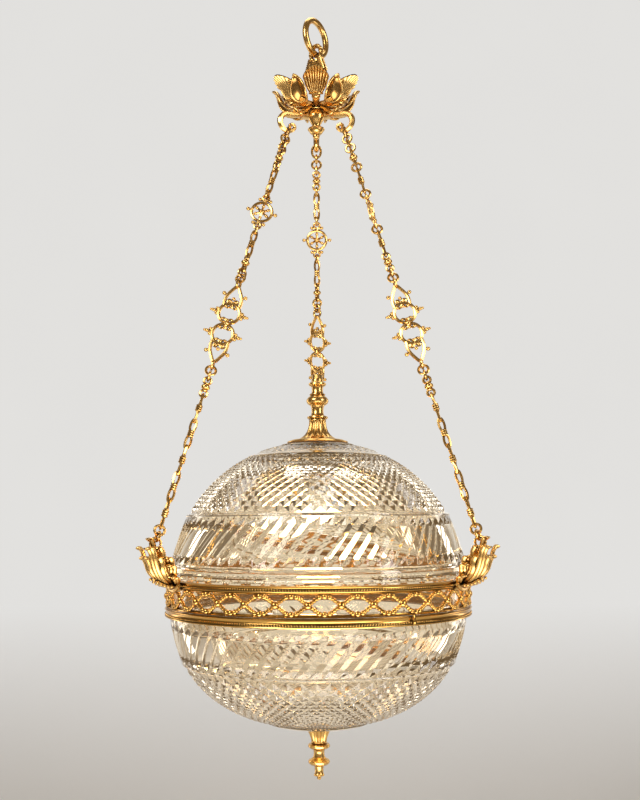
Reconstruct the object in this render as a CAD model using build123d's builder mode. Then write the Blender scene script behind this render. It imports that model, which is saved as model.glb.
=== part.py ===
"""Globe pendant light: two cut-glass bowls in a pierced brass band.

It hangs on three ornamental chains from a leafed corona.
Origin: where the ceiling hook bears inside the hanging ring.
+Z is up, -Y is the front, sizes are millimetres.
"""
import os
from math import atan2, cos, degrees, hypot, pi, radians, sin, tan

from build123d import *

# Clearances
SEAT = 0.3            # resting gap between pieces that bear on each other
PIN_FIT = 0.3         # hinge pin in its knuckle, on the radius
SLIDE_FIT = 0.15      # stem pieces on the stem tube, on the radius

# Hanging ring, a round ring turned away from the front
RING_MEAN_R = 22.5
RING_WIRE = 8.0
RING_YAW = 55.0
RING_SIDES = 16

# Corona: stirrup loop, baluster, spider of arms, shell palmettes, pointed leaves and chain hooks
LOOP_WIRE = 6.4
LOOP_BORE_R = 6.6
LOOP_GAP = 0.7
LOOP_FOOT_W = 29.0
LOOP_DROP = 24.0
CORONA_FOOT_R = 12.0
CORONA_FOOT_H = 6.0
CORONA_ROD_R = 4.8
CORONA_ROD_L = 41.0
VASE_R = 10.2
VASE_H = 25.0
CORONA_CUP_H = 9.0
CORONA_BALL_R = 4.5
TURNED_SIDES = 12
LEAF_COUNT = 6
HUB_R = 10.5
HUB_H = 7.0
ARM_REACH = 40.0
ARM_W = 8.5
ARM_T = 3.2
PALMETTE_H = 33.0
PALMETTE_W = 34.0
PALMETTE_T = 2.2
PALMETTE_LEAN = 41.0
PALMETTE_RIBS = 7
LEAF_L = 47.0
LEAF_W = 18.0
LEAF_T = 2.2
LEAF_RISE = 20.0
HOOK_R = 41.0
HOOK_BEND_R = 13.0
HOOK_W = 5.6
HOOK_T = 5.0
HOOK_SWEEP = 255.0
HOOK_STEPS = 10
HOOK_GAP = 1.6

# Chains: from the hooks down to the eyes of the leaf brackets
CHAIN_AZIMUTHS = {"left": 210.0, "right": 330.0, "back": 90.0}
CHAIN_DROP = 506.0
WIRE = 3.0
LINK_GAP = 0.35
RING_LINK_L = 13.4
HOOK_LINK_L = 19.0
BEAD_LINK_L = 27.0
BEAD_R = 4.4
LINK_W = 10.6
ROUNDEL_L = 49.0
ROUNDEL_R = 14.3
ROUNDEL_RIM = 3.6
ROUNDEL_SPOKES = 6
PLAQUE_L = 105.0
PLAQUE_RING_R = 13.2
PLAQUE_RIM = 3.6
PLAQUE_POINT = 8.5
PLATE_T = 3.0
LINK_TURN = 90.0      # each link is turned this much from the one above
UPPER_LINKS = ["hook", "ring", "ring", "ring", "bead", "ring", "long", "ring"]
MIDDLE_LINKS = ["ring", "long", "bead", "ring", "ring", "ring"]
LOWER_LINKS = ["ring", "ring", "ring", "bead", "long", "long", "long", "long", "long", "ring", "ring"]
ROUNDEL_TWIST = {"left": 120.0, "right": 150.0, "back": 0.0}
PLAQUE_TWIST = {"left": 120.0, "right": 60.0, "back": 40.0}

# Band and globe
BAND_R = 181.0
EYE_OUT = 23.5        # bracket eyes beyond the band's radius
BAND_TOP_DROP = 44.5
MOULDING_H = 7.0
MOULDING_W = 5.0
MOULDING_CHAMFER = 1.6
FRET_H = 22.0
FRET_T = 2.6
FRET_CELLS = 33
FRET_OVAL_W = 21.0
FRET_OVAL_H = 14.4
FRET_RAIL = 2.2
FRET_TURN = 4.9
BASE_H = 3.0
BASE_LEDGE = 11.0
LOWER_RING_H = 10.2
LOWER_LEDGE = 4.6
LIP_H = 5.0
LIP_W = 1.3
BAND_SIDES = 32
GLASS_SIDES = 32
GLASS_WALL = 6.5
DOME_INSET = 3.5      # dome's widest radius inside the band's
DOME_B = 182.0
DOME_POWER = 2.15
NECK_INSET = 8.0      # neck inside the band's radius, clear of the moulding and on the ledge
BEAD_INSET = 2.4      # rolled bead inside the band's radius
DOME_BEAD_H = 9.0
DOME_STEP_RISE = 90.0
DOME_STEP = 4.0
BOWL_INSET = 5.4      # bowl's widest radius inside the band's
BOWL_B = 148.0
BOWL_POWER = 2.36
BOWL_STEP_DROP = 82.0
BOWL_BELT_DROP = 36.0
BOWL_STEP = 4.0
FLUTE_LEAN = 37.0     # slant of the cut flutes
FLUTE_W = 11.0
FLUTE_DEPTH = 2.4
FLUTE_REACH = 0.84    # share of its belt that a flute crosses
DIAMOND_RISE = 2.2
DIAMOND_TAPER = 66.0
DIAMOND_SHARE = 0.86  # share of its facet that a diamond covers
DOME_SEAT_R = 37.0
DOME_FLAT_DROP = 2.4
BOWL_FLAT_RISE = 0.6
POLE_HOLE_R = 7.0

# Leaf brackets that carry the chain eyes
BRACKET_REACH = 44.0
BRACKET_RISE = 52.0
BRACKET_W = 34.0
BRACKET_T = 4.5
BRACKET_FOOT_H = 12.0
LUG_T = 3.0
LUG_BAR = 3.0
LUG_SLOT_W = 9.0
LUG_SLOT_H = 9.0
LUG_TAIL = 37.0

# Stem above the globe and the lamp inside it
STEM_BORE_R = 4.0
STEM_TUBE_R = 6.2
STEM_H = 80.0
STEM_TAIL = 22.0
PLATE_R = 37.2
PLATE_H = 4.6
WASHER_H = 1.0
TRUMPET_H = 25.0
TRUMPET_R = 22.0
TRUMPET_NECK_R = 10.4
COLLAR_R = 12.8
KNOP_R = 13.5
NECK_R = 7.6
BALUSTER_H = 50.0
LOCKNUT_R = 12.0
LOCKNUT_H = 6.0
HOLDER_R = 20.0
HOLDER_H = 46.0
BULB_R = 30.0
BULB_L = 96.0
BULB_NECK_R = 13.0

# Bottom finial
FINIAL_ROD_R = 4.6
FINIAL_CUP_R = 16.4
FINIAL_CUP_H = 23.0
FINIAL_COLLAR_R = 12.8
FINIAL_NECK_R = 6.4
FINIAL_H = 41.0
FINIAL_TIP_R = 2.6
FINIAL_NUT_R = 14.0
FINIAL_NUT_H = 5.0

# Bowl hinge at the back of the band and spring clasp opposite
HINGE_AZIMUTH = 123.0
HINGE_PIN_R = 2.0
KNUCKLE_R = 4.6
KNUCKLE_L = 14.0
EAR_T = 4.0
HINGE_REACH = 6.5
CLASP_W = 6.0
CLASP_T = 2.4

# Heights worked out from the sizes above
ring_z = RING_WIRE / 2 - RING_MEAN_R
ring_bottom = ring_z - RING_MEAN_R
loop_z = ring_bottom + RING_WIRE / 2 + LOOP_GAP - LOOP_BORE_R
foot_top = loop_z - LOOP_DROP
rod_top = foot_top - CORONA_FOOT_H
vase_top = rod_top - CORONA_ROD_L
vase_bottom = vase_top - VASE_H
cup_bottom = vase_bottom - CORONA_CUP_H
corona_bottom = cup_bottom - 1.6 * CORONA_BALL_R
hub_bottom = vase_top + SEAT
arm_top = hub_bottom + HUB_H
hook_z = vase_top - VASE_H / 2 - HOOK_BEND_R
hook_seat_z = hook_z - HOOK_BEND_R
eye_z = hook_seat_z - CHAIN_DROP
eye_r = BAND_R + EYE_OUT
dome_a = BAND_R - DOME_INSET
dome_neck_r = BAND_R - NECK_INSET
dome_bead_r = BAND_R - BEAD_INSET
bowl_a = BAND_R - BOWL_INSET
band_top = eye_z - BAND_TOP_DROP
fret_top = band_top - MOULDING_H
fret_bottom = fret_top - FRET_H
base_bottom = fret_bottom - BASE_H
lower_top = base_bottom - SEAT
lower_bottom = lower_top - LOWER_RING_H
globe_mid = (band_top + lower_bottom) / 2
dome_pole = globe_mid + DOME_B
bowl_pole = globe_mid - BOWL_B
dome_flat = dome_pole - DOME_FLAT_DROP
bowl_flat = bowl_pole + BOWL_FLAT_RISE
plate_bottom = dome_flat + WASHER_H
plate_top = plate_bottom + PLATE_H
trumpet_top = plate_top + TRUMPET_H
stem_top = plate_top + STEM_H
tube_bottom = dome_pole - GLASS_WALL - STEM_TAIL


def radial_plane(azimuth):
    """Upright plane through the axis: local x is the radius, local y is the height."""
    a = radians(azimuth)
    return Plane(origin=(0, 0, 0), x_dir=(cos(a), sin(a), 0), z_dir=(sin(a), -cos(a), 0))


def facing_plane(azimuth, radius=0.0):
    """Upright plane that faces outward at an azimuth: local y is the height."""
    a = radians(azimuth)
    return Plane(
        origin=(radius * cos(a), radius * sin(a), 0), x_dir=(-sin(a), cos(a), 0), z_dir=(cos(a), sin(a), 0)
    )


def frustum(low_r, low, high_r, high, sides, base):
    """One row of a turned form between two heights over a base plane; its wider end is drawn first."""
    with BuildSketch(Plane.XY) as section:
        RegularPolygon(max(low_r, high_r), sides, major_radius=False)
    slope = degrees(atan2(abs(low_r - high_r), high - low))
    row = extrude(section.sketch, amount=high - low, taper=slope, mode=Mode.PRIVATE)
    if low_r >= high_r:
        return row.moved(base.offset(low).location)
    return mirror(row, about=Plane.XY, mode=Mode.PRIVATE).moved(base.offset(high).location)


def stack(stations, sides, mode=Mode.ADD, base=Plane.XY):
    """A turned or cut form: rows between regular polygons given as (radius over flats, height)."""
    rows = sorted(stations, key=lambda station: station[1])
    add([frustum(*low, *high, sides, base) for low, high in zip(rows, rows[1:])], mode=mode)


def polygon_ring(outer, inner, bottom, height, sides):
    """A flat-sided ring about the axis."""
    with BuildSketch(Plane.XY.offset(bottom)) as section:
        RegularPolygon(outer, sides, major_radius=False)
        RegularPolygon(inner, sides, major_radius=False, mode=Mode.SUBTRACT)
    extrude(section.sketch, amount=height)


def bore(radius, bottom, top):
    """A flat-sided hole on the axis, over the same facets as the tube or rod that fills it."""
    with BuildSketch(Plane.XY.offset(bottom - 1)) as section:
        RegularPolygon(radius, TURNED_SIDES, major_radius=False)
    extrude(section.sketch, amount=top - bottom + 2, mode=Mode.SUBTRACT)


def face_of(points, mode=Mode.ADD):
    """A filled outline through the points, where they stand."""
    Polygon(*points, align=None, mode=mode)


def save(builder, name):
    """Names one piece and writes its file."""
    builder.part.label = name
    export_step(builder.part, f"parts/{name}.step")


def globe_radius(height, half_width, half_height, power):
    """Outside radius of a bowl at a height from the middle of the band."""
    return half_width * max(1 - (abs(height) / half_height) ** power, 0) ** (1 / power)


os.makedirs("parts", exist_ok=True)

# Hanging ring: round wire, shown with flat facets
a = radians(RING_YAW)
ring_plane = Plane(origin=(0, 0, ring_z), x_dir=(cos(a), sin(a), 0), z_dir=(sin(a), -cos(a), 0))
with BuildPart() as hanging_ring:
    with BuildSketch(ring_plane):
        half_side = 180 / RING_SIDES
        for half_wire, mode in ((RING_WIRE / 2, Mode.ADD), (-RING_WIRE / 2, Mode.SUBTRACT)):
            radius = RING_MEAN_R + half_wire
            RegularPolygon(radius, RING_SIDES, major_radius=False, rotation=half_side, mode=mode)
    extrude(amount=RING_WIRE / 2, both=True)
    flats = hanging_ring.faces().filter_by(Axis((0, 0, 0), ring_plane.z_dir))
    chamfer(flats.edges(), length=RING_WIRE * 0.29)
save(hanging_ring, "hanging_ring")

# Stirrup loop that hangs on the ring, with its foot
loop_plane = Plane(origin=(0, 0, loop_z), x_dir=(-sin(a), cos(a), 0), z_dir=(cos(a), sin(a), 0))
with BuildPart() as corona_loop:
    with BuildSketch(loop_plane):
        for half, arch, low, mode in (
            (LOOP_FOOT_W / 2, LOOP_BORE_R + LOOP_WIRE, -LOOP_DROP, Mode.ADD),
            (LOOP_FOOT_W / 2 - LOOP_WIRE, LOOP_BORE_R, LOOP_WIRE - LOOP_DROP, Mode.SUBTRACT),
        ):
            corner = arch / cos(radians(18))
            arch_points = [(corner * cos(radians(t)), corner * sin(radians(t))) for t in range(0, 181, 36)]
            face_of([(half, low), *arch_points, (-half, low)], mode)
    extrude(amount=LOOP_WIRE / 2, both=True)
    foot = [(CORONA_FOOT_R * 0.7, rod_top), (CORONA_FOOT_R, rod_top + 2), (CORONA_FOOT_R, foot_top)]
    stack(foot, TURNED_SIDES)
save(corona_loop, "corona_loop")

# Baluster: rod, vase, cup and ball end
with BuildPart() as corona_baluster:
    stack(
        [
            (CORONA_ROD_R * 0.5, corona_bottom),
            (CORONA_BALL_R, cup_bottom - 0.8 * CORONA_BALL_R),
            (CORONA_BALL_R * 0.7, cup_bottom),
            (VASE_R, cup_bottom + 0.6 * CORONA_CUP_H),
            (VASE_R, vase_bottom - 1),
            (CORONA_ROD_R, vase_bottom),
            (VASE_R * 0.8, vase_bottom + 0.38 * VASE_H),
            (VASE_R, vase_bottom + 0.64 * VASE_H),
            (VASE_R * 0.72, vase_top - 2),
            (VASE_R * 0.66, vase_top),
        ],
        TURNED_SIDES,
    )
    stack([(CORONA_ROD_R, vase_top), (CORONA_ROD_R, rod_top)], TURNED_SIDES)
save(corona_baluster, "corona_baluster")

# Spider: hub and arms under the palmettes
with BuildPart() as corona_spider:
    polygon_ring(HUB_R, CORONA_ROD_R + SEAT, hub_bottom, HUB_H, TURNED_SIDES)
    for i in range(LEAF_COUNT):
        with BuildSketch(radial_plane(270 + 360 / LEAF_COUNT * i)):
            face_of(
                [
                    (HUB_R - 1, arm_top),
                    (HUB_R - 1, arm_top - ARM_T),
                    (ARM_REACH * 0.6, arm_top - 1.7 * ARM_T),
                    (ARM_REACH, arm_top - ARM_T),
                    (ARM_REACH, arm_top),
                    (ARM_REACH * 0.8, arm_top),
                    (ARM_REACH * 0.6, arm_top - 0.7 * ARM_T),
                ]
            )
        extrude(amount=ARM_W / 2, both=True)
save(corona_spider, "corona_spider")

# Shell palmettes: a scalloped fan on each arm
lean = radians(PALMETTE_LEAN)
with BuildPart() as corona_palmettes:
    for i in range(LEAF_COUNT):
        az = radians(270 + 360 / LEAF_COUNT * i)
        out = Vector(cos(az), sin(az), 0)
        up = out * sin(lean) + Vector(0, 0, cos(lean))
        foot = out * (ARM_REACH - 3) + Vector(0, 0, arm_top + PALMETTE_T / 2 * sin(lean) + SEAT)
        across = Vector(-sin(az), cos(az), 0)
        fan = [(-ARM_W * 0.45, 0), (-ARM_W * 0.45, 3)]
        for k in range(2 * PALMETTE_RIBS + 1):
            swing = radians(-78 + 156 * k / (2 * PALMETTE_RIBS))
            reach = 1.0 if k % 2 else 0.9
            fan.append(
                (PALMETTE_W / 2 * reach * sin(swing), PALMETTE_H * (0.5 + 0.5 * reach * cos(swing)))
            )
        fan += [(ARM_W * 0.45, 3), (ARM_W * 0.45, 0)]
        with BuildSketch(Plane(origin=foot, x_dir=across, z_dir=across.cross(up))):
            face_of(fan)
        extrude(amount=PALMETTE_T / 2, both=True)
save(corona_palmettes, "corona_palmettes")

# Pointed leaves between the palmettes, each springing from the hub
rise = radians(LEAF_RISE)
with BuildPart() as corona_leaves:
    for i in range(LEAF_COUNT):
        az = radians(270 + 360 / LEAF_COUNT * (i + 0.5))
        out = Vector(cos(az), sin(az), 0)
        along = out * cos(rise) + Vector(0, 0, sin(rise))
        root = out * (HUB_R / cos(pi / TURNED_SIDES) + SEAT + 1) + Vector(0, 0, hub_bottom + HUB_H / 2)
        across = Vector(-sin(az), cos(az), 0)
        half = LEAF_W / 2
        with BuildSketch(Plane(origin=root, x_dir=across, z_dir=across.cross(along))):
            face_of(
                [
                    (-half * 0.12, 0),
                    (-half * 0.34, LEAF_L * 0.3),
                    (-half, LEAF_L * 0.58),
                    (-half * 0.75, LEAF_L * 0.82),
                    (0, LEAF_L),
                    (half * 0.75, LEAF_L * 0.82),
                    (half, LEAF_L * 0.58),
                    (half * 0.34, LEAF_L * 0.3),
                    (half * 0.12, 0),
                ]
            )
        extrude(amount=LEAF_T / 2, both=True)
save(corona_leaves, "corona_leaves")


# Chain hooks: an arm from the vase, then an open round bend with a curled tip
def hook_outline():
    inner, outer = HOOK_BEND_R - HOOK_W / 2, HOOK_BEND_R + HOOK_W / 2
    turns = [radians(90 - HOOK_SWEEP * k / HOOK_STEPS) for k in range(HOOK_STEPS + 1)]
    outside = [(HOOK_R + outer * cos(t), hook_z + outer * sin(t)) for t in turns]
    inside = [(HOOK_R + inner * cos(t), hook_z + inner * sin(t)) for t in reversed(turns)]
    start = VASE_R + SEAT
    return [(start, hook_z + outer), *outside, *inside, (start, hook_z + inner)]


for side, azimuth in CHAIN_AZIMUTHS.items():
    with BuildPart() as chain_hook:
        with BuildSketch(radial_plane(azimuth)):
            face_of(hook_outline())
        extrude(amount=HOOK_T / 2, both=True)
    save(chain_hook, f"chain_hook_{side}")

# Chain line: the wire centre of the hook at one end, the wire centre of the last ring at the other
chain_run = hypot(eye_r - HOOK_R, CHAIN_DROP)
down_r = (eye_r - HOOK_R) / chain_run
down_z = -CHAIN_DROP / chain_run
chain_start = -(HOOK_W / 2 + WIRE / 2 + HOOK_GAP)
lap = WIRE + LINK_GAP
FIXED_LENGTHS = {
    "hook": HOOK_LINK_L - WIRE,
    "ring": RING_LINK_L - WIRE,
    "bead": BEAD_LINK_L - WIRE,
    "roundel": ROUNDEL_L - WIRE,
    "plaque": PLAQUE_L - WIRE,
}
chain_order = UPPER_LINKS + ["roundel"] + MIDDLE_LINKS + ["plaque"] + LOWER_LINKS
fixed_total = sum(FIXED_LENGTHS.get(kind, 0) for kind in chain_order)
long_pitch = (
    chain_run - chain_start + (len(chain_order) - 1) * lap - fixed_total
) / chain_order.count("long")
print(f"chain {chain_run:.1f} mm, long link {long_pitch + WIRE:.1f} mm over all")


def chain_places(side):
    """Each link's kind, middle along the chain, half pitch and twist about the chain."""
    anchors = [0, len(UPPER_LINKS), len(UPPER_LINKS) + 1 + len(MIDDLE_LINKS), len(chain_order) - 1]
    targets = [0.0, ROUNDEL_TWIST[side], PLAQUE_TWIST[side], 0.0]
    twists = {0: 0.0}
    for first, last, start, end in zip(anchors, anchors[1:], targets, targets[1:]):
        steps = last - first
        turn = LINK_TURN * steps
        turn += (end - start - turn + LINK_TURN) % (2 * LINK_TURN) - LINK_TURN
        for k in range(1, steps + 1):
            twists[first + k] = twists[first] + turn * k / steps
    places, s = [], chain_start
    for i, kind in enumerate(chain_order):
        pitch = FIXED_LENGTHS.get(kind, long_pitch)
        places.append((kind, s + pitch / 2, pitch / 2, twists[i]))
        s += pitch - lap
    return places


def link_plane(azimuth, s, twist):
    """Plane of a link: local x across it, local y down the chain."""
    a, p = radians(azimuth), radians(twist)
    out = Vector(cos(a), sin(a), 0)
    across = Vector(-sin(a), cos(a), 0) * cos(p) + (out * -down_z + Vector(0, 0, down_r)) * sin(p)
    down = out * down_r + Vector(0, 0, down_z)
    middle = out * HOOK_R + Vector(0, 0, hook_seat_z) + down * s
    return Plane(origin=middle, x_dir=across, z_dir=across.cross(down))


def eye(y):
    """A flat-sided eye at one end of a link."""
    with Locations((0, y)):
        RegularPolygon(LINK_W / 2, 6, major_radius=False)


def eye_hole(y):
    """The opening of an eye, square to the wire that passes through it."""
    with Locations((0, y)):
        Rectangle(LINK_W - 1.8 * WIRE, LINK_W - 1.8 * WIRE, mode=Mode.SUBTRACT)


def mirrored(points):
    """An outline from its right half, read from the top down."""
    return points + [(-x, y) for x, y in reversed(points)]


def oval_link(half):
    """One open link: flat facets outside, drawn out along the chain where it is longer than it is wide."""
    end, side = half + WIRE / 2, RING_LINK_L / 2
    wide, belly = side / cos(pi / 6), end - side
    sides = [(wide, belly), (wide, -belly)] if belly > LINK_GAP else [(wide, 0)]
    face_of(mirrored([(wide / 2, end), *sides, (wide / 2, -end)]))
    Rectangle(2 * (side - WIRE), 2 * (end - WIRE), mode=Mode.SUBTRACT)


def long_link(half):
    """A long link pinched to a waist, with an eye each side of it."""
    wide, end = LINK_W / 2, half + WIRE / 2
    face_of(mirrored([(wide, end), (wide * 0.5, 0), (wide, -end)]))
    for turn in (1, -1):
        loop = [(wide - WIRE * 0.9, end - WIRE), (WIRE * 0.25, WIRE)]
        face_of([(x, turn * y) for x, y in mirrored(loop)], Mode.SUBTRACT)


def bead_link(half):
    """A bead between two eyes."""
    reach = half + WIRE / 2 - LINK_W / 2
    Rectangle(WIRE * 1.1, 2 * reach)
    for y in (reach, -reach):
        eye(y)
        eye_hole(y)


def roundel(half):
    """A wheel with spokes, side knobs and an eye above and below."""
    reach = half + WIRE / 2 - LINK_W / 2
    Rectangle(WIRE * 1.3, 2 * reach)
    for y in (reach, -reach):
        eye(y)
    RegularPolygon(ROUNDEL_R, 2 * ROUNDEL_SPOKES, major_radius=False)
    RegularPolygon(ROUNDEL_R - ROUNDEL_RIM, ROUNDEL_SPOKES, major_radius=False, mode=Mode.SUBTRACT)
    for k in range(ROUNDEL_SPOKES // 2):
        Rectangle(WIRE * 0.7, 2 * ROUNDEL_R - ROUNDEL_RIM, rotation=360 / ROUNDEL_SPOKES * k)
    RegularPolygon(ROUNDEL_R * 0.3, ROUNDEL_SPOKES)
    with Locations((ROUNDEL_R + WIRE * 0.5, 0), (-ROUNDEL_R - WIRE * 0.5, 0)):
        RegularPolygon(WIRE * 0.8, 6)
    for y in (reach, -reach):
        eye_hole(y)


def plaque(half):
    """Two scrolled rings back to back, a pointed arch at each end and leaf points at the sides."""
    reach = half + WIRE / 2 - LINK_W / 2
    r, rim = PLAQUE_RING_R, PLAQUE_RIM
    ring_y = r + WIRE * 0.4
    arch_foot = ring_y + r * 0.85
    for turn in (1, -1):
        arch = [(rim * 0.5, reach), (r * 0.72, arch_foot + r * 0.7), (r * 0.62, arch_foot - r * 0.25)]
        face_of([(x, turn * y) for x, y in mirrored(arch)])
        hole = [
            (rim * 0.2, reach - rim * 2.4),
            (r * 0.72 - rim, arch_foot + r * 0.66),
            (r * 0.62 - rim, arch_foot),
        ]
        face_of([(x, turn * y) for x, y in mirrored(hole)], Mode.SUBTRACT)
        eye(turn * reach)
        for flip in (1, -1):
            root, point = flip * (r - rim), flip * (r + PLAQUE_POINT)
            middle = turn * ring_y
            face_of([(root, middle + rim * 1.3), (point, middle), (root, middle - rim * 1.3)])
        with Locations((0, turn * ring_y)):
            RegularPolygon(r, 8, major_radius=False, rotation=22.5)
            RegularPolygon(r - rim, 8, major_radius=False, rotation=22.5, mode=Mode.SUBTRACT)
    Rectangle(r * 1.1, WIRE * 2.2)
    for y in (reach, -reach):
        eye_hole(y)


LINK_SHAPES = {"hook": oval_link, "ring": oval_link, "long": long_link, "bead": bead_link,
               "roundel": roundel, "plaque": plaque}


def add_link(azimuth, place):
    """One link of a chain, flat wire stamped and bent to its shape."""
    kind, s, half, twist = place
    plane = link_plane(azimuth, s, twist)
    with BuildSketch(plane) as outline:
        LINK_SHAPES[kind](half)
    extrude(outline.sketch, amount=(PLATE_T if kind in ("roundel", "plaque") else WIRE) / 2, both=True)
    if kind == "bead":
        along = Plane(origin=plane.origin, x_dir=plane.x_dir, z_dir=plane.y_dir)
        rows = [(WIRE * 0.6, -1.2), (BEAD_R, -0.4), (BEAD_R, 0.4), (WIRE * 0.6, 1.2)]
        stack([(radius, share * BEAD_R) for radius, share in rows], 6, base=along)


for side, azimuth in CHAIN_AZIMUTHS.items():
    places = chain_places(side)
    first, second = len(UPPER_LINKS), len(UPPER_LINKS) + 1 + len(MIDDLE_LINKS)
    lengths = {
        "upper_links": places[:first],
        "roundel": places[first:first + 1],
        "middle_links": places[first + 1:second],
        "plaque": places[second:second + 1],
        "lower_links": places[second + 1:],
    }
    for piece, links in lengths.items():
        with BuildPart() as chain_piece:
            for link in links:
                add_link(azimuth, link)
        save(chain_piece, f"chain_{side}_{piece}")

# Band: top moulding, pierced fretwork and the base ring whose ledge carries the upper glass
with BuildPart() as band_moulding:
    polygon_ring(BAND_R, BAND_R - MOULDING_W, fret_top, MOULDING_H, BAND_SIDES)
    outer = band_moulding.faces().filter_by(GeomType.PLANE).sort_by(Axis.Z)
    rims = [e for f in (outer[0], outer[-1]) for e in f.outer_wire().edges()]
    chamfer(rims, length=MOULDING_CHAMFER)
save(band_moulding, "band_moulding")

fret_r = BAND_R - MOULDING_CHAMFER - 0.4
fret_mid = (fret_top + fret_bottom) / 2
with BuildPart() as oval_cutter:
    with BuildSketch(facing_plane(0, fret_r - 3 * FRET_T)):
        w, h = FRET_OVAL_W / 2, FRET_OVAL_H / 2
        right = [(0.5, 1), (1, 0), (0.5, -1)]
        face_of(mirrored([(w * x, fret_mid + h * y) for x, y in right]))
    extrude(amount=6 * FRET_T)
cell = 2 * pi * fret_r / FRET_CELLS
with BuildPart() as cross_cutter:
    with BuildSketch(facing_plane(180 / FRET_CELLS, fret_r - 3 * FRET_T)):
        top = FRET_H / 2 - FRET_RAIL
        half = (cell - FRET_OVAL_W) / 2
        for turn in (1, -1):
            edge = fret_mid + turn * top
            face_of([(-half, edge), (half, edge), (0, fret_mid + turn * top * 0.3)])
    extrude(amount=6 * FRET_T)
with BuildPart() as fret_ring:
    polygon_ring(fret_r, fret_r - FRET_T, fret_bottom, FRET_H, FRET_CELLS)
    with PolarLocations(0, FRET_CELLS, start_angle=180 / FRET_CELLS):
        add(oval_cutter.part, mode=Mode.SUBTRACT)
        add(cross_cutter.part, mode=Mode.SUBTRACT)
with BuildPart() as band_fretwork:
    add(fret_ring.part, rotation=(0, 0, FRET_TURN))
save(band_fretwork, "band_fretwork")

with BuildPart() as band_base:
    polygon_ring(BAND_R, BAND_R - BASE_LEDGE, base_bottom, BASE_H, BAND_SIDES)
save(band_base, "band_base")

# Upper glass: neck in the band, rolled bead, fluted belt, step and domed crown
dome_step = globe_mid + DOME_STEP_RISE
bead_low = band_top + MOULDING_W
bead_high = bead_low + DOME_BEAD_H


def dome_at(height, inset=0.0):
    return globe_radius(height - globe_mid, dome_a - inset, DOME_B - inset, DOME_POWER)


def facet_plane(low, high):
    """Plane of one facet between two (radius, height) rows: local y runs up the glass."""
    a = pi / GLASS_SIDES
    out, across = Vector(cos(a), sin(a), 0), Vector(-sin(a), cos(a), 0)
    middle = out * ((low[0] + high[0]) / 2) + Vector(0, 0, (low[1] + high[1]) / 2)
    up = out * (high[0] - low[0]) + Vector(0, 0, high[1] - low[1])
    return Plane(origin=middle, x_dir=across, z_dir=across.cross(up))


def flute_cutter(low, high):
    """Slanted V cut across the facet between two rows."""
    facet = facet_plane(low, high)
    lean = radians(FLUTE_LEAN)
    along = facet.x_dir * sin(lean) + facet.y_dir * cos(lean)
    across = facet.x_dir * cos(lean) - facet.y_dir * sin(lean)
    reach = FLUTE_REACH * hypot(high[0] - low[0], high[1] - low[1]) / cos(lean)
    with BuildPart() as cutter:
        with BuildSketch(Plane(origin=facet.origin, x_dir=across, z_dir=along)):
            face_of([(-FLUTE_W / 2, -SEAT), (FLUTE_W / 2, -SEAT), (0, FLUTE_DEPTH)])
        extrude(amount=reach / 2, both=True)
    return cutter.part


def cut_diamond(low, high):
    """Blunt four-sided point that stands on the facet between two rows."""
    half_w = DIAMOND_SHARE * (low[0] + high[0]) / 2 * tan(pi / GLASS_SIDES)
    half_h = DIAMOND_SHARE * hypot(high[0] - low[0], high[1] - low[1]) / 2
    with BuildPart() as point:
        with BuildSketch(Plane.XY.offset(-SEAT)):
            face_of([(half_w, 0), (0, half_h), (-half_w, 0), (0, -half_h)])
        extrude(amount=DIAMOND_RISE + SEAT, taper=DIAMOND_TAPER)
    return point.part.moved(facet_plane(low, high).location)


belt_low = (dome_at(bead_high + 2), bead_high + 2)
belt_high = (dome_at(dome_step), dome_step)
crown_low = (dome_at(dome_step + 3) - DOME_STEP, dome_step + 3)
crown_high = (dome_at(globe_mid + DOME_B * 0.68), globe_mid + DOME_B * 0.68)
flute = flute_cutter(belt_low, belt_high)
diamond = cut_diamond(crown_low, crown_high)
with BuildPart() as upper_glass:
    stack(
        [
            (dome_neck_r, fret_bottom + SEAT),
            (dome_neck_r, band_top + 2),
            (dome_bead_r, bead_low + 2),
            (dome_bead_r, bead_high - 1),
            belt_low,
            belt_high,
            crown_low,
            crown_high,
            *[(dome_at(globe_mid + DOME_B * k), globe_mid + DOME_B * k) for k in (0.84, 0.94)],
            (DOME_SEAT_R, dome_flat),
        ],
        GLASS_SIDES,
    )
    with PolarLocations(0, GLASS_SIDES):
        add(flute, mode=Mode.SUBTRACT)
        add(diamond)
    stack(
        [
            (dome_neck_r - GLASS_WALL, fret_bottom - 1),
            (dome_neck_r - GLASS_WALL, bead_low),
            (dome_at(dome_step) - GLASS_WALL - DOME_STEP, dome_step),
            (dome_at(globe_mid + DOME_B * 0.84, GLASS_WALL), globe_mid + (DOME_B - GLASS_WALL) * 0.84),
            (POLE_HOLE_R * 2, dome_flat - GLASS_WALL),
        ],
        GLASS_SIDES,
        Mode.SUBTRACT,
    )
    bore(POLE_HOLE_R, dome_pole - 4 * GLASS_WALL, dome_pole)
save(upper_glass, "upper_glass")

# Leaf brackets on the band, each with the eye lug that the chain's last ring passes through
band_out = BAND_R / cos(pi / BAND_SIDES) + SEAT
leaf_low = band_top - BRACKET_FOOT_H
LEAF_UNDER = [(0.0, 0.04), (0.3, 0.0), (0.62, 0.16), (0.84, 0.44), (1.0, 1.0)]
LEAF_LOBES = [(0.12, 1.01), (0.42, 0.84), (0.36, 0.76), (0.82, 0.7), (0.66, 0.56), (1, 0.42), (0.72, 0.3),
              (0.88, 0.14), (0.5, -0.05)]


def leaf_point(share_out, share_up):
    """A point of the leaf's section, as shares of its reach and rise."""
    return (band_out + BRACKET_REACH * share_out, leaf_low + BRACKET_RISE * share_up)


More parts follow.
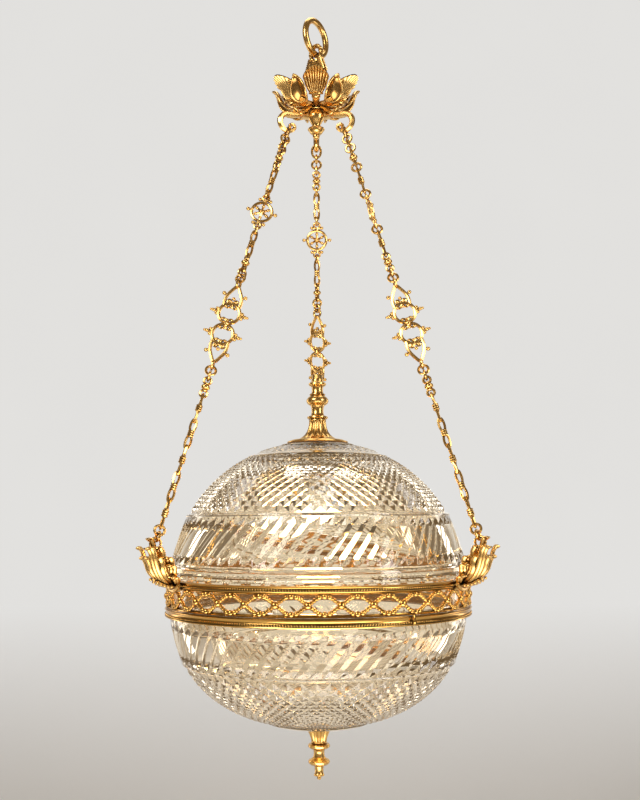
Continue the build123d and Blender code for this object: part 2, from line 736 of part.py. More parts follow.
def lug_plane(azimuth):
    """Upright plane at the chain's last wire: local y points up the chain."""
    a = radians(azimuth)
    out = Vector(cos(a), sin(a), 0)
    across = out * -down_z + Vector(0, 0, down_r)
    up = out * -down_r + Vector(0, 0, -down_z)
    return Plane(origin=out * eye_r + Vector(0, 0, eye_z), x_dir=across, z_dir=across.cross(up))


for side, azimuth in CHAIN_AZIMUTHS.items():
    with BuildPart() as bracket:
        with BuildSketch(radial_plane(azimuth)):
            under = [leaf_point(*point) for point in LEAF_UNDER]
            over = [(x - BRACKET_T * 0.6, z + BRACKET_T * 0.9) for x, z in under[1:-1]]
            tip = (under[-1][0] - BRACKET_T, under[-1][1])
            face_of([*under, tip, *reversed(over), (band_out, band_top)])
        extrude(amount=BRACKET_W / 2, both=True)
        with BuildSketch(facing_plane(azimuth)):
            face_of(mirrored([(BRACKET_W / 2 * x, leaf_low + BRACKET_RISE * y) for x, y in LEAF_LOBES]))
        extrude(amount=2 * (BAND_R + BRACKET_REACH), mode=Mode.INTERSECT)
        with BuildSketch(lug_plane(azimuth)):
            half, slot = LUG_SLOT_W / 2 + LUG_BAR, WIRE / 2 + LINK_GAP
            low = slot - LUG_SLOT_H
            head = [(half * 0.5, slot + LUG_BAR), (half, slot), (half, low)]
            face_of(mirrored([*head, (LUG_BAR, low - LUG_BAR), (LUG_BAR, -LUG_TAIL)]))
            with Locations((0, slot - LUG_SLOT_H / 2)):
                Rectangle(LUG_SLOT_W, LUG_SLOT_H, mode=Mode.SUBTRACT)
        extrude(amount=LUG_T / 2, both=True)
    save(bracket, f"bracket_{side}")

# Stem: washer and plate on the glass, fluted trumpet, baluster, and the tube that ties them to the lampholder
with BuildPart() as stem_washer:
    polygon_ring(DOME_SEAT_R - 4, STEM_TUBE_R + SLIDE_FIT * 2, dome_flat, WASHER_H, TURNED_SIDES)
save(stem_washer, "stem_washer")

with BuildPart() as stem_plate:
    stack([(PLATE_R, plate_bottom), (PLATE_R, plate_top - 2), (PLATE_R - 4, plate_top)], GLASS_SIDES // 2)
    bore(STEM_TUBE_R + SLIDE_FIT, plate_bottom, plate_top)
save(stem_plate, "stem_plate")

with BuildPart() as stem_trumpet:
    stack(
        [
            (TRUMPET_R, plate_top),
            (TRUMPET_R * 0.72, plate_top + TRUMPET_H * 0.22),
            (TRUMPET_NECK_R * 1.1, plate_top + TRUMPET_H * 0.6),
            (TRUMPET_NECK_R, trumpet_top),
        ],
        TURNED_SIDES,
    )
    bore(STEM_TUBE_R + SLIDE_FIT, plate_top, trumpet_top)
save(stem_trumpet, "stem_trumpet")

with BuildPart() as stem_baluster:
    stack(
        [
            (radius, trumpet_top + BALUSTER_H * k)
            for radius, k in (
                (COLLAR_R, 0.0), (COLLAR_R, 0.08), (NECK_R, 0.12), (NECK_R, 0.34),
                (KNOP_R, 0.42), (KNOP_R, 0.52), (NECK_R, 0.6), (NECK_R, 0.82),
                (COLLAR_R * 0.85, 0.88), (COLLAR_R * 0.85, 0.94), (NECK_R, 1.0),
            )
        ],
        TURNED_SIDES,
    )
    bore(STEM_TUBE_R + SLIDE_FIT, trumpet_top, trumpet_top + BALUSTER_H)
save(stem_baluster, "stem_baluster")

with BuildPart() as stem_tube:
    with BuildSketch(Plane.XY.offset(tube_bottom)):
        RegularPolygon(STEM_TUBE_R, TURNED_SIDES, major_radius=False)
        Circle(STEM_BORE_R, mode=Mode.SUBTRACT)
    extrude(amount=stem_top - tube_bottom)
save(stem_tube, "stem_tube")

nut_top = dome_flat - GLASS_WALL - SEAT
with BuildPart() as stem_locknut:
    with BuildSketch(Plane.XY.offset(nut_top - LOCKNUT_H)):
        RegularPolygon(LOCKNUT_R, 6, major_radius=False)
        RegularPolygon(STEM_TUBE_R + SLIDE_FIT, TURNED_SIDES, major_radius=False, mode=Mode.SUBTRACT)
    extrude(amount=LOCKNUT_H)
save(stem_locknut, "stem_locknut")

# Lampholder screwed to the tube's lower end, and the lamp hanging from it
holder_top = tube_bottom
holder_bottom = holder_top - HOLDER_H
with BuildPart() as lampholder:
    stack(
        [(HOLDER_R, holder_bottom), (HOLDER_R, holder_top - 12), (HOLDER_R * 0.55, holder_top)], TURNED_SIDES
    )
    with BuildSketch(Plane.XY.offset(holder_bottom)):
        RegularPolygon(BULB_NECK_R + SEAT, TURNED_SIDES, major_radius=False)
    extrude(amount=HOLDER_H * 0.6, mode=Mode.SUBTRACT)
save(lampholder, "lampholder")

bulb_top = holder_bottom + HOLDER_H * 0.55
bulb_bottom = bulb_top - BULB_L
with BuildPart() as bulb:
    stack(
        [
            (BULB_NECK_R, bulb_top),
            (BULB_NECK_R, holder_bottom - 4),
            (BULB_R * 0.8, bulb_bottom + BULB_R * 1.7),
            (BULB_R, bulb_bottom + BULB_R),
            (BULB_R * 0.8, bulb_bottom + BULB_R * 0.4),
            (BULB_R * 0.35, bulb_bottom),
        ],
        TURNED_SIDES,
    )
save(bulb, "bulb")

# Lower ring: rebated to hold the lip of the lower glass
with BuildPart() as lower_ring:
    polygon_ring(BAND_R, BAND_R - LOWER_LEDGE, lower_bottom, LOWER_RING_H, BAND_SIDES)
    low_face = lower_ring.faces().filter_by(GeomType.PLANE).sort_by(Axis.Z)[0]
    chamfer(low_face.outer_wire().edges(), length=MOULDING_CHAMFER)
    with BuildSketch(Plane.XY.offset(lower_top - LIP_H - SEAT)):
        RegularPolygon(BAND_R - LOWER_LEDGE + LIP_W + SEAT, BAND_SIDES, major_radius=False)
    extrude(amount=LIP_H + 2 * SEAT, mode=Mode.SUBTRACT)
save(lower_ring, "lower_ring")

# Lower glass: lip in the ring, fluted belt, step and rounded base
bowl_step = globe_mid - BOWL_STEP_DROP
bowl_r = min(bowl_a, BAND_R - LOWER_LEDGE - SEAT)
lip_r = BAND_R - LOWER_LEDGE + LIP_W


def bowl_at(height, inset=0.0):
    return globe_radius(height - globe_mid, bowl_r - inset, BOWL_B - inset, BOWL_POWER)


belt_high = (bowl_at(lower_bottom - 8), lower_bottom - 8)
belt_low = (bowl_at(lower_bottom - BOWL_BELT_DROP), lower_bottom - BOWL_BELT_DROP)
flute = flute_cutter(belt_low, belt_high)
with BuildPart() as lower_glass:
    stack(
        [
            (lip_r, lower_top),
            (lip_r, lower_top - LIP_H),
            (bowl_r, lower_top - LIP_H - SEAT),
            belt_high,
            belt_low,
            (bowl_at(bowl_step + 4), bowl_step + 4),
            (bowl_at(bowl_step) - BOWL_STEP / 2, bowl_step),
            *[(bowl_at(globe_mid - BOWL_B * k), globe_mid - BOWL_B * k) for k in (0.75, 0.89, 0.965)],
            (FINIAL_CUP_R, bowl_flat),
        ],
        GLASS_SIDES,
    )
    with PolarLocations(0, GLASS_SIDES):
        add(flute, mode=Mode.SUBTRACT)
    stack(
        [
            (bowl_r - GLASS_WALL, lower_top + 1),
            (belt_low[0] - GLASS_WALL, belt_low[1]),
            (bowl_at(bowl_step) - GLASS_WALL - BOWL_STEP, bowl_step),
            (bowl_at(globe_mid - BOWL_B * 0.9, GLASS_WALL), globe_mid - (BOWL_B - GLASS_WALL) * 0.9),
            (FINIAL_NUT_R + 2, bowl_flat + GLASS_WALL),
        ],
        GLASS_SIDES,
        Mode.SUBTRACT,
    )
    bore(POLE_HOLE_R, bowl_pole, bowl_pole + 3 * GLASS_WALL)
save(lower_glass, "lower_glass")

# Finial under the lower glass: threaded rod, nut inside, fluted cup and turned drop
cup_top = bowl_flat - SEAT
cup_end = cup_top - FINIAL_CUP_H
nut_low = bowl_flat + GLASS_WALL + SEAT
rod_high = nut_low + FINIAL_NUT_H + 3
with BuildPart() as finial_rod:
    stack([(FINIAL_ROD_R, cup_end), (FINIAL_ROD_R, rod_high)], TURNED_SIDES)
save(finial_rod, "finial_rod")

with BuildPart() as finial_nut:
    with BuildSketch(Plane.XY.offset(nut_low)):
        RegularPolygon(FINIAL_NUT_R, 6, major_radius=False)
        RegularPolygon(FINIAL_ROD_R + SLIDE_FIT, TURNED_SIDES, major_radius=False, mode=Mode.SUBTRACT)
    extrude(amount=FINIAL_NUT_H)
save(finial_nut, "finial_nut")

with BuildPart() as finial_cup:
    stack(
        [
            (FINIAL_NECK_R * 1.3, cup_end),
            (FINIAL_NECK_R * 1.5, cup_end + FINIAL_CUP_H * 0.3),
            (FINIAL_CUP_R * 0.8, cup_end + FINIAL_CUP_H * 0.75),
            (FINIAL_CUP_R, cup_top - 1.5),
            (FINIAL_CUP_R, cup_top),
        ],
        TURNED_SIDES,
    )
    with BuildSketch(Plane.XY.offset(cup_end)):
        RegularPolygon(FINIAL_ROD_R + SLIDE_FIT, TURNED_SIDES, major_radius=False)
    extrude(amount=FINIAL_CUP_H, mode=Mode.SUBTRACT)
save(finial_cup, "finial_cup")

with BuildPart() as finial_drop:
    stack(
        [
            (radius, cup_end - FINIAL_H * k)
            for radius, k in (
                (FINIAL_COLLAR_R, 0.0), (FINIAL_COLLAR_R, 0.1), (FINIAL_NECK_R, 0.17), (FINIAL_NECK_R, 0.36),
                (FINIAL_COLLAR_R, 0.42), (FINIAL_COLLAR_R, 0.54), (FINIAL_NECK_R * 0.8, 0.64),
                (FINIAL_NECK_R * 0.8, 0.82), (FINIAL_NECK_R, 0.87), (FINIAL_TIP_R * 0.7, 0.9),
                (FINIAL_TIP_R, 0.95),
                (FINIAL_TIP_R * 0.5, 1.0),
            )
        ],
        TURNED_SIDES,
    )
save(finial_drop, "finial_drop")

# Hinge: two ears on the band, a knuckle on the lower ring and the pin through both
hinge_r = BAND_R + HINGE_REACH
hinge_plane = radial_plane(HINGE_AZIMUTH)
ear_inside = KNUCKLE_L / 2 + SEAT


def knuckle(radius):
    """Round knuckle about the hinge pin."""
    with Locations((hinge_r, lower_top + SEAT / 2)):
        RegularPolygon(radius, 12)


with BuildPart() as hinge_ears:
    for turn in (1, -1):
        with BuildSketch(hinge_plane.offset(turn * (ear_inside + EAR_T / 2))):
            knuckle(KNUCKLE_R)
            ear_low = base_bottom + SEAT
            ear_tip = (hinge_r + KNUCKLE_R * 0.6, ear_low + KNUCKLE_R * 0.7)
            face_of([(band_out, ear_low), (band_out, fret_bottom + 4), ear_tip, (hinge_r, ear_low)])
            with Locations((hinge_r, lower_top + SEAT / 2)):
                RegularPolygon(HINGE_PIN_R, TURNED_SIDES, major_radius=False, mode=Mode.SUBTRACT)
        extrude(amount=EAR_T / 2, both=True)
save(hinge_ears, "hinge_ears")

with BuildPart() as hinge_knuckle:
    with BuildSketch(hinge_plane):
        knuckle(KNUCKLE_R)
        face_of([(band_out, lower_top - SEAT), (band_out, lower_bottom + MOULDING_CHAMFER),
                 (hinge_r + KNUCKLE_R * 0.6, lower_top - KNUCKLE_R * 0.7), (hinge_r, lower_top - SEAT)])
        with Locations((hinge_r, lower_top + SEAT / 2)):
            RegularPolygon(HINGE_PIN_R + PIN_FIT, TURNED_SIDES, major_radius=False, mode=Mode.SUBTRACT)
    extrude(amount=KNUCKLE_L / 2, both=True)
save(hinge_knuckle, "hinge_knuckle")

with BuildPart() as hinge_pin:
    with BuildSketch(hinge_plane):
        with Locations((hinge_r, lower_top + SEAT / 2)):
            RegularPolygon(HINGE_PIN_R, TURNED_SIDES, major_radius=False)
    extrude(amount=ear_inside + EAR_T, both=True)
save(hinge_pin, "hinge_pin")

# Spring clasp on the lower ring, opposite the hinge: a tongue that laps the base ring, with a thumb bead
with BuildPart() as clasp:
    with BuildSketch(radial_plane(HINGE_AZIMUTH + 180)):
        face_of([(band_out, lower_bottom + MOULDING_CHAMFER), (band_out, fret_bottom + 3),
                 (band_out + CLASP_T, fret_bottom + 2), (band_out + CLASP_T, lower_bottom + 3),
                 (band_out + 2 * CLASP_T, lower_bottom + 1), (band_out + CLASP_T, lower_bottom - 1)])
    extrude(amount=CLASP_W / 2, both=True)
save(clasp, "clasp")

print(f"band {band_top:.1f} to {lower_bottom:.1f}, dome pole {dome_pole:.1f}, bowl pole {bowl_pole:.1f}")
print(f"hook seat {hook_seat_z:.1f}, eye {eye_z:.1f}")
print(f"finial end {cup_end - FINIAL_H:.1f}, stem top {stem_top:.1f}")
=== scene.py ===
from math import cos, exp, hypot, pi, radians, sin, sqrt

import bpy
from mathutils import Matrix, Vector


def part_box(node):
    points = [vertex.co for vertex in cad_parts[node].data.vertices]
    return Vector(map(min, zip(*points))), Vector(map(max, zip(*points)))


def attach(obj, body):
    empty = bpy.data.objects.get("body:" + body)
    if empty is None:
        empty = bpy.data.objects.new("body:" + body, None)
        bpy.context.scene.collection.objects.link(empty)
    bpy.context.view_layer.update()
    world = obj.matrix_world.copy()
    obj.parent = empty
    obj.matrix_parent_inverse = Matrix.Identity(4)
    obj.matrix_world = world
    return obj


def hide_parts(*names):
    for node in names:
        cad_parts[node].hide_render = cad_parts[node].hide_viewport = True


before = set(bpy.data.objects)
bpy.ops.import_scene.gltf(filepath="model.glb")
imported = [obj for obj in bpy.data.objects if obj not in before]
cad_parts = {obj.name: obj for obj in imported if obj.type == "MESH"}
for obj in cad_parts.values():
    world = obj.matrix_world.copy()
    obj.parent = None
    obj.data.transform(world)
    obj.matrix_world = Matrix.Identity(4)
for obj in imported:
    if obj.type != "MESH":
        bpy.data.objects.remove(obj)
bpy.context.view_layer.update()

MM = 0.001
TAU = 2 * pi
UP = Vector((0, 0, 1))

# Sizes shared with the solids, in millimetres
RING_YAW = radians(55)
RING_MEAN_R, RING_WIRE = 22.5, 8.0
LOOP_BORE_R, LOOP_DROP, LOOP_GAP = 6.6, 24.0, 0.7
FOOT_H, ROD_L, VASE_H = 6, 41, 25
HOOK_R, HOOK_BEND_R, HOOK_FALL = 41.0, 13.0, 12.5
EYE_R, CHAIN_DROP, EYE_RISE = 204.5, 506.0, 44.5
WIRE, LINK_GAP = 3.0, 0.35
BAND_R, RIM_WALL = 181.0, 4.6
MOULDING_H, FRET_H, BASE_H = 7, 22, 3
RING_GAP, LOWER_RING_H = 0.3, 10.2
FRET_CELLS, FRET_TURN = 33, radians(4.9)
DOME_W, DOME_H, DOME_POWER = 177.5, 182, 2.15
BOWL_W, BOWL_H, BOWL_POWER = 175.6, 148, 2.36
PLATE_SINK, PLATE_H, TRUMPET_H = 1.4, 4.6, 25
CHAIN_SIDES = {"left": 210.0, "right": 330.0, "back": 90.0}
PALMETTE_SIDES = [270 + 60 * i for i in range(6)]
LEAF_SIDES = [300 + 60 * i for i in range(6)]

# Heights, from the ceiling down
ring_z = RING_WIRE / 2 - RING_MEAN_R
ring_low = ring_z - RING_MEAN_R
loop_z = ring_low + RING_WIRE / 2 + LOOP_GAP - LOOP_BORE_R
foot_top = loop_z - LOOP_DROP
rod_top = foot_top - FOOT_H
vase_top = rod_top - ROD_L
vase_low = vase_top - VASE_H
hook_z = vase_top - HOOK_FALL - HOOK_BEND_R
hook_seat = hook_z - HOOK_BEND_R
eye_z = hook_seat - CHAIN_DROP
band_top = eye_z - EYE_RISE
fret_top = band_top - MOULDING_H
fret_low = fret_top - FRET_H
base_low = fret_low - BASE_H
ring_top = base_low - RING_GAP
lower_low = ring_top - LOWER_RING_H
globe_mid = (band_top + lower_low) / 2
dome_pole = globe_mid + DOME_H
bowl_pole = globe_mid - BOWL_H
plate_low = dome_pole - PLATE_SINK
plate_top = plate_low + PLATE_H
trumpet_top = plate_top + TRUMPET_H

# Scene only: the least half width of a leaf and the cuts of the glass
LEAST_HALF = 0.15
FLUTE_DEPTH, FLUTE_SLANT = 3.8, 0.78
GLASS_WALL = 7.6
CUP_FLUTES = 14
BAND_BEADS = 380


# Points and paths
def turns(count):
    """Angles once around, in even steps."""
    return [TAU * k / count for k in range(count)]


def aims_along(path):
    """The direction of an open path at each of its points."""
    last = len(path) - 1
    return [(path[min(i + 1, last)] - path[max(i - 1, 0)]).normalized() for i in range(last + 1)]


def flow(points, count):
    """A smooth path through points."""
    points = [Vector(p) for p in points]
    ends = [points[0] * 2 - points[1], *points, points[-1] * 2 - points[-2]]
    path = []
    for k in range(count):
        s = k / (count - 1) * (len(points) - 1)
        i = min(int(s), len(points) - 2)
        t = s - i
        a, b, c, d = ends[i:i + 4]
        path.append(0.5 * (2 * b + (c - a) * t + (2 * a - 5 * b + 4 * c - d) * t ** 2
                           + (3 * b - a - 3 * c + d) * t ** 3))
    return path


def at(azimuth, rho, z, t=0.0):
    """A point by azimuth in degrees, radius, height and distance sideways."""
    a = radians(azimuth)
    return Vector((rho * cos(a) - t * sin(a), rho * sin(a) + t * cos(a), z))


def along(azimuth, base, pairs):
    """Points at one azimuth by (radius, height) pairs, their heights counted from a base."""
    return [at(azimuth, rho, base + h) for rho, h in pairs]


def raised(base, pairs):
    """A profile of (radius, height) pairs, their heights counted from a base."""
    return [(r, base + h) for r, h in pairs]


def arc_points(centre, one, two, radius, start, end, count):
    """Points of an arc between two angles in degrees."""
    angles = [radians(start + (end - start) * k / (count - 1)) for k in range(count)]
    return [centre + one * (radius * cos(a)) + two * (radius * sin(a)) for a in angles]


def loop_points(centre, one, two, radius, count):
    """Points of a circle."""
    return [centre + one * (radius * cos(a)) + two * (radius * sin(a)) for a in turns(count)]


class Form:
    """Points and faces of one piece, in millimetres."""

    def __init__(self):
        self.points = []
        self.faces = []

    def ring(self, points):
        """Adds a row of points and gives their numbers."""
        start = len(self.points)
        self.points.extend(tuple(p) for p in points)
        return list(range(start, len(self.points)))

    def skin(self, rows, cap=False):
        """Quads between closed rows of equal length."""
        rows = [self.ring(row) for row in rows]
        count = len(rows[0])
        for low, high in zip(rows, rows[1:]):
            for i in range(count):
                j = (i + 1) % count
                self.faces.append((low[i], low[j], high[j], high[i]))
        if cap:
            self.faces.append(tuple(reversed(rows[0])))
            self.faces.append(tuple(rows[-1]))

    def lathe(self, profile, sides=64, flute=None, close=True, base=(0, 0, 0), axis=(0, 0, 1)):
        """Turned form about an axis from (radius, height) pairs, bottom up."""
        base, axis = Vector(base), Vector(axis).normalized()
        one = Vector((1, 0, 0)) if abs(axis.z) > 0.999 else UP.cross(axis).normalized()
        two = axis.cross(one)
        rows = []
        for r, z in profile:
            row = []
            for a in turns(sides):
                k = r * (flute(a, z) if flute else 1)
                row.append(base + one * (k * cos(a)) + two * (k * sin(a)) + axis * z)
            rows.append(row)
        self.skin(rows, cap=close)

    def tube(self, path, radius, sides=10, closed=False, flat=1.0, turn=0.0):
        """Round wire along a path; radius is one number or one for each point."""
        path = [Vector(p) for p in path]
        n = len(path)
        radii = radius if isinstance(radius, (list, tuple)) else [radius] * n
        if closed:
            aims = [(path[(i + 1) % n] - path[i - 1]).normalized() for i in range(n)]
        else:
            aims = aims_along(path)
        plane = Vector((0, 0, 0))
        for i in range(n - 2):
            plane += (path[i + 1] - path[i]).cross(path[i + 2] - path[i + 1])
        side = plane if plane.length > 1e-6 else aims[0].orthogonal()
        side = (side - aims[0] * side.dot(aims[0])).normalized()
        angles = [TAU * (k + turn) / sides for k in range(sides)]
        rows = []
        for p, aim, r in zip(path, aims, radii):
            side = (side - aim * side.dot(aim)).normalized()
            out = side.cross(aim)
            rows.append([p + (out * cos(a) + side * (flat * sin(a))) * r for a in angles])
        if closed:
            rows.append(rows[0])
        self.skin(rows, cap=not closed)

    def ball(self, centre, radius, axis=(0, 0, 1), stretch=1.0, sides=10, rows=6):
        """A ball, drawn out along an axis."""
        axis = Vector(axis).normalized()
        one = axis.orthogonal().normalized()
        two = axis.cross(one)
        centre = Vector(centre)
        low = self.ring([centre - axis * radius * stretch])[0]
        bands = []
        for k in range(1, rows):
            t = pi * k / rows
            hub = centre - axis * (cos(t) * radius * stretch)
            bands.append(self.ring(hub + (one * cos(a) + two * sin(a)) * (sin(t) * radius) for a in turns(sides)))
        high = self.ring([centre + axis * radius * stretch])[0]
        for i in range(sides):
            j = (i + 1) % sides
            self.faces.append((low, bands[0][j], bands[0][i]))
            self.faces.append((high, bands[-1][i], bands[-1][j]))
            for a, b in zip(bands, bands[1:]):
                self.faces.append((a[i], a[j], b[j], b[i]))

    def lobe(self, path, width, side, ribs=3, rib=0.5, cup=0.0, thick=1.2, arc=0.0, scallop=0.0, across=16):
        """A leaf lobe: a ribbed strip along a path, closed at its back."""
        path = [Vector(p) for p in path]
        side = Vector(side).normalized()
        rows = []
        for i, (p, aim) in enumerate(zip(path, aims_along(path))):
            v = i / (len(path) - 1)
            face = side.cross(aim).normalized()
            wide = max(width(v), LEAST_HALF)
            front, back = [], []
            for j in range(across + 1):
                u = -1 + 2 * j / across
                lobes = abs(sin(pi * ribs * (u + 1) / 2))
                spot = p + side * (wide * u) - aim * (arc * v * u * u) + aim * (scallop * v * lobes)
                lift = cup * wide * u * u + rib * min(1, 2.5 * v) * lobes
                front.append(spot + face * lift)
                back.append(spot + face * (lift * 0.5 - thick * (1 - 0.55 * u * u)))
            rows.append(front + back[::-1])
        self.skin(rows, cap=True)

    def zip_rings(self, low, high):
        """Faces between two rings whose counts differ, both sharing their first direction."""
        i = j = 0
        n, m = len(low), len(high)
        while i < n or j < m:
            if j >= m or (i < n and (i + 1) * m <= (j + 1) * n):
                self.faces.append((low[i % n], low[(i + 1) % n], high[j % m]))
                i += 1
            else:
                self.faces.append((low[i % n], high[(j + 1) % m], high[j % m]))
                j += 1


def add(name, data):
    """A new object in the scene."""
    made = bpy.data.objects.new(name, data)
    bpy.context.scene.collection.objects.link(made)
    return made


def show(name, form, material, body, nodes=(), crease=35):
    """Makes a form an object that rides on a body and stands for its solids."""
    mesh = bpy.data.meshes.new(name)
    mesh.from_pydata([(x * MM, y * MM, z * MM) for x, y, z in form.points], [], form.faces)
    mesh.update()
    mesh.polygons.foreach_set("use_smooth", [True] * len(mesh.polygons))
    mesh.set_sharp_from_angle(angle=radians(crease))
    mesh.materials.append(material)
    piece = add(name, mesh)
    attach(piece, body)
    if nodes:
        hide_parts(*nodes)


# Finishes
class Wire:
    """A socket that takes part in sums."""

    def __init__(self, tree, socket):
        self.tree = tree
        self.socket = socket

    def feed(self, made, **inputs):
        """Links or sets a node's inputs, each by its name or by i and its number."""
        for key, value in inputs.items():
            numbered = key[0] == "i" and key[1:].isdigit()
            socket = made.inputs[int(key[1:]) if numbered else key.replace("_", " ")]
            if isinstance(value, Wire):
                self.tree.links.new(value.socket, socket)
            else:
                socket.default_value = value

    def node(self, kind, settings=(), **inputs):
        """A new node with its settings and inputs."""
        made = self.tree.nodes.new(kind)
        for key, value in dict(settings).items():
            setattr(made, key, value)
        self.feed(made, **inputs)
        return made

    def out(self, made, output=0):
        """A node's output, by name or number."""
        return Wire(self.tree, made.outputs[output])

    def maths(self, operation, *values):
        inputs = {f"i{k}": v for k, v in enumerate(values)}
        return self.out(self.node("ShaderNodeMath", {"operation": operation}, **inputs))

    def __add__(self, other):
        return self.maths("ADD", self, other)

    def __sub__(self, other):
        return self.maths("SUBTRACT", self, other)

    def __rsub__(self, other):
        return self.maths("SUBTRACT", other, self)

    def __mul__(self, other):
        return self.maths("MULTIPLY", self, other)

    __radd__ = __add__
    __rmul__ = __mul__

    def clamp(self):
        return self.maths("MINIMUM", self.maths("MAXIMUM", self, 0.0), 1.0)

    def blend(self, first, second):
        """A colour between two, by this value."""
        return self.out(self.node("ShaderNodeMix", {"data_type": "RGBA"}, i0=self, i6=first, i7=second), 2)


def finish_of(name):
    """A new material, its shader and its place on the object."""
    material = bpy.data.materials.new(name)
    material.use_nodes = True
    start = Wire(material.node_tree, None)
    place = start.out(start.node("ShaderNodeTexCoord"), "Object")
    return material, material.node_tree.nodes["Principled BSDF"], place


def noise(place, scale, detail=3.0, roughness=0.55):
    made = place.node("ShaderNodeTexNoise", Vector=place, Scale=scale, Detail=detail, Roughness=roughness)
    return place.out(made, "Fac")


def mix_in(place, shader, second, factor):
    """Gives the surface a mix of its own shader and a second one."""
    mix = place.node("ShaderNodeMixShader", i0=factor, i1=place.out(shader), i2=place.out(second))
    place.feed(place.tree.nodes["Material Output"], Surface=place.out(mix))


def gilt(name, light, deep, shine):
    """Antique gilding: brown painted shade in the hollows, taken from ambient occlusion, and random cloudy patches
    of rubbed wear.
    """
    material, shader, place = finish_of(name)
    hollow = place.out(place.node("ShaderNodeAmbientOcclusion", {"samples": 6}, Distance=0.004), "AO")
    cloud = noise(place, 42.0)
    speck = noise(place, 420.0, 2.0)
    # Painted shade: ambient occlusion darkens the base colour towards the deep colour in hollows and crevices; the
    # cloud noise adds random wear.
    shade_and_wear = ((hollow - 0.25) * 1.5 + (cloud - 0.5) * 0.3).clamp()
    bump = place.node("ShaderNodeBump", Strength=0.03, Distance=0.0002, Height=noise(place, 90.0, 2.0))
    place.feed(shader, Metallic=1.0, Normal=place.out(bump),
               Base_Color=shade_and_wear.blend((*deep, 1), (*light, 1)),
               Roughness=shine + 0.2 * (1 - shade_and_wear) + 0.08 * (cloud - 0.5) + 0.04 * (speck - 0.5))
    return material


def crystal(name):
    """Clear cut glass, tinted warm and given a faint warm glow as painted lamp light, clear to shadow rays so that
    the lamp inside lights the room.
    """
    material, shader, place = finish_of(name)
    # Painted lamp light: the warm base tint and the faint warm emission stand in for the lit lamp's glow in the
    # glass.
    place.feed(shader, Base_Color=(1.0, 0.935, 0.8, 1), Transmission_Weight=1.0, IOR=1.5,
               Emission_Color=(1.0, 0.62, 0.28, 1), Emission_Strength=0.02,
               Roughness=(0.008 + 0.02 * (noise(place, 90.0) - 0.35)).clamp())
    clear = place.node("ShaderNodeBsdfTransparent", Color=(0.96, 0.93, 0.88, 1))
    mix_in(place, shader, clear, place.out(place.node("ShaderNodeLightPath"), "Is Shadow Ray"))
    return material


def lamp_glass(name):
    """Frosted lamp, lit, palest at its middle."""
    material, shader, place = finish_of(name)
    off_middle = place.out(place.node("ShaderNodeSeparateXYZ", Vector=place), 2) + 0.655
    core = (1.0 - off_middle * off_middle * 500.0).clamp()
    place.feed(shader, Base_Color=(0.95, 0.9, 0.8, 1), Roughness=0.35 + 0.1 * noise(place, 60.0),
               Emission_Color=core.blend((1.0, 0.5, 0.15, 1), (1.0, 0.66, 0.3, 1)), Emission_Strength=16.0)
    return material


def plain(name, colour, second, rough, metal=0.0):
    """Moulded, rubber and steel pieces: two near colours in a fine grain."""
    material, shader, place = finish_of(name)
    grain = noise(place, 120.0)
    place.feed(shader, Base_Color=grain.blend((*colour, 1), (*second, 1)),
               Roughness=rough + 0.2 * (grain - 0.5), Metallic=metal)
    return material


# Copies of one gilt, whose deep colour is painted shade in the hollows: the shell copy is lighter, painted light on
# the palmettes; the band copy has near-black painted shade; the leaf copy is dark all over, painted shade on the
# hollow leaf faces.
GILT = gilt("gilt_brass", (0.85, 0.53, 0.175), (0.17, 0.074, 0.018), 0.24)
SHELL_GILT = gilt("shell_gilt", (0.9, 0.6, 0.22), (0.34, 0.16, 0.04), 0.26)
BAND_GILT = gilt("band_gilt", (0.8, 0.46, 0.12), (0.1, 0.04, 0.01), 0.19)
SHADED_LEAF_GILT = gilt("leaf_shade_gilt", (0.46, 0.26, 0.08), (0.1, 0.042, 0.011), 0.22)
CRYSTAL = crystal("cut_crystal")
LAMP = lamp_glass("lamp_glass")
HOLDER = plain("dark_holder", (0.035, 0.03, 0.027), (0.06, 0.055, 0.05), 0.35)
WASHER = plain("washer_rubber", (0.06, 0.06, 0.06), (0.1, 0.1, 0.1), 0.7)
STEEL = plain("plain_steel", (0.5, 0.49, 0.47), (0.62, 0.61, 0.6), 0.35, metal=1.0)


def turned(name, node, body, profile, sides, material=GILT, beads=None, **how):
    """A turned piece, with a row of beads if their radius, height and size are given."""
    form = Form()
    form.lathe(profile, sides, **how)
    if beads:
        radius, z, size = beads
        for a in turns(BAND_BEADS):
            form.ball((radius * cos(a), radius * sin(a), z), size, (cos(a), sin(a), 0), 1.0, 8, 4)
    show(name, form, material, body, [node])


def fluted(low, high, depth):
    """V-cut flutes between two heights of a turned form."""
    return lambda a, h: 1 - depth * (1 - abs(sin(CUP_FLUTES / 2 * a))) * (1 if low < h < high else 0)


# Hanging ring and its rope-twisted stirrup
def hanging_ring():
    form = Form()
    across = Vector((cos(RING_YAW), sin(RING_YAW), 0))
    circle = loop_points(UP * ring_z, across, UP, RING_MEAN_R, 72)
    form.tube(circle, RING_WIRE / 2, 20, closed=True)
    show("hanging_ring_round", form, GILT, "suspension", ["hanging_ring"])


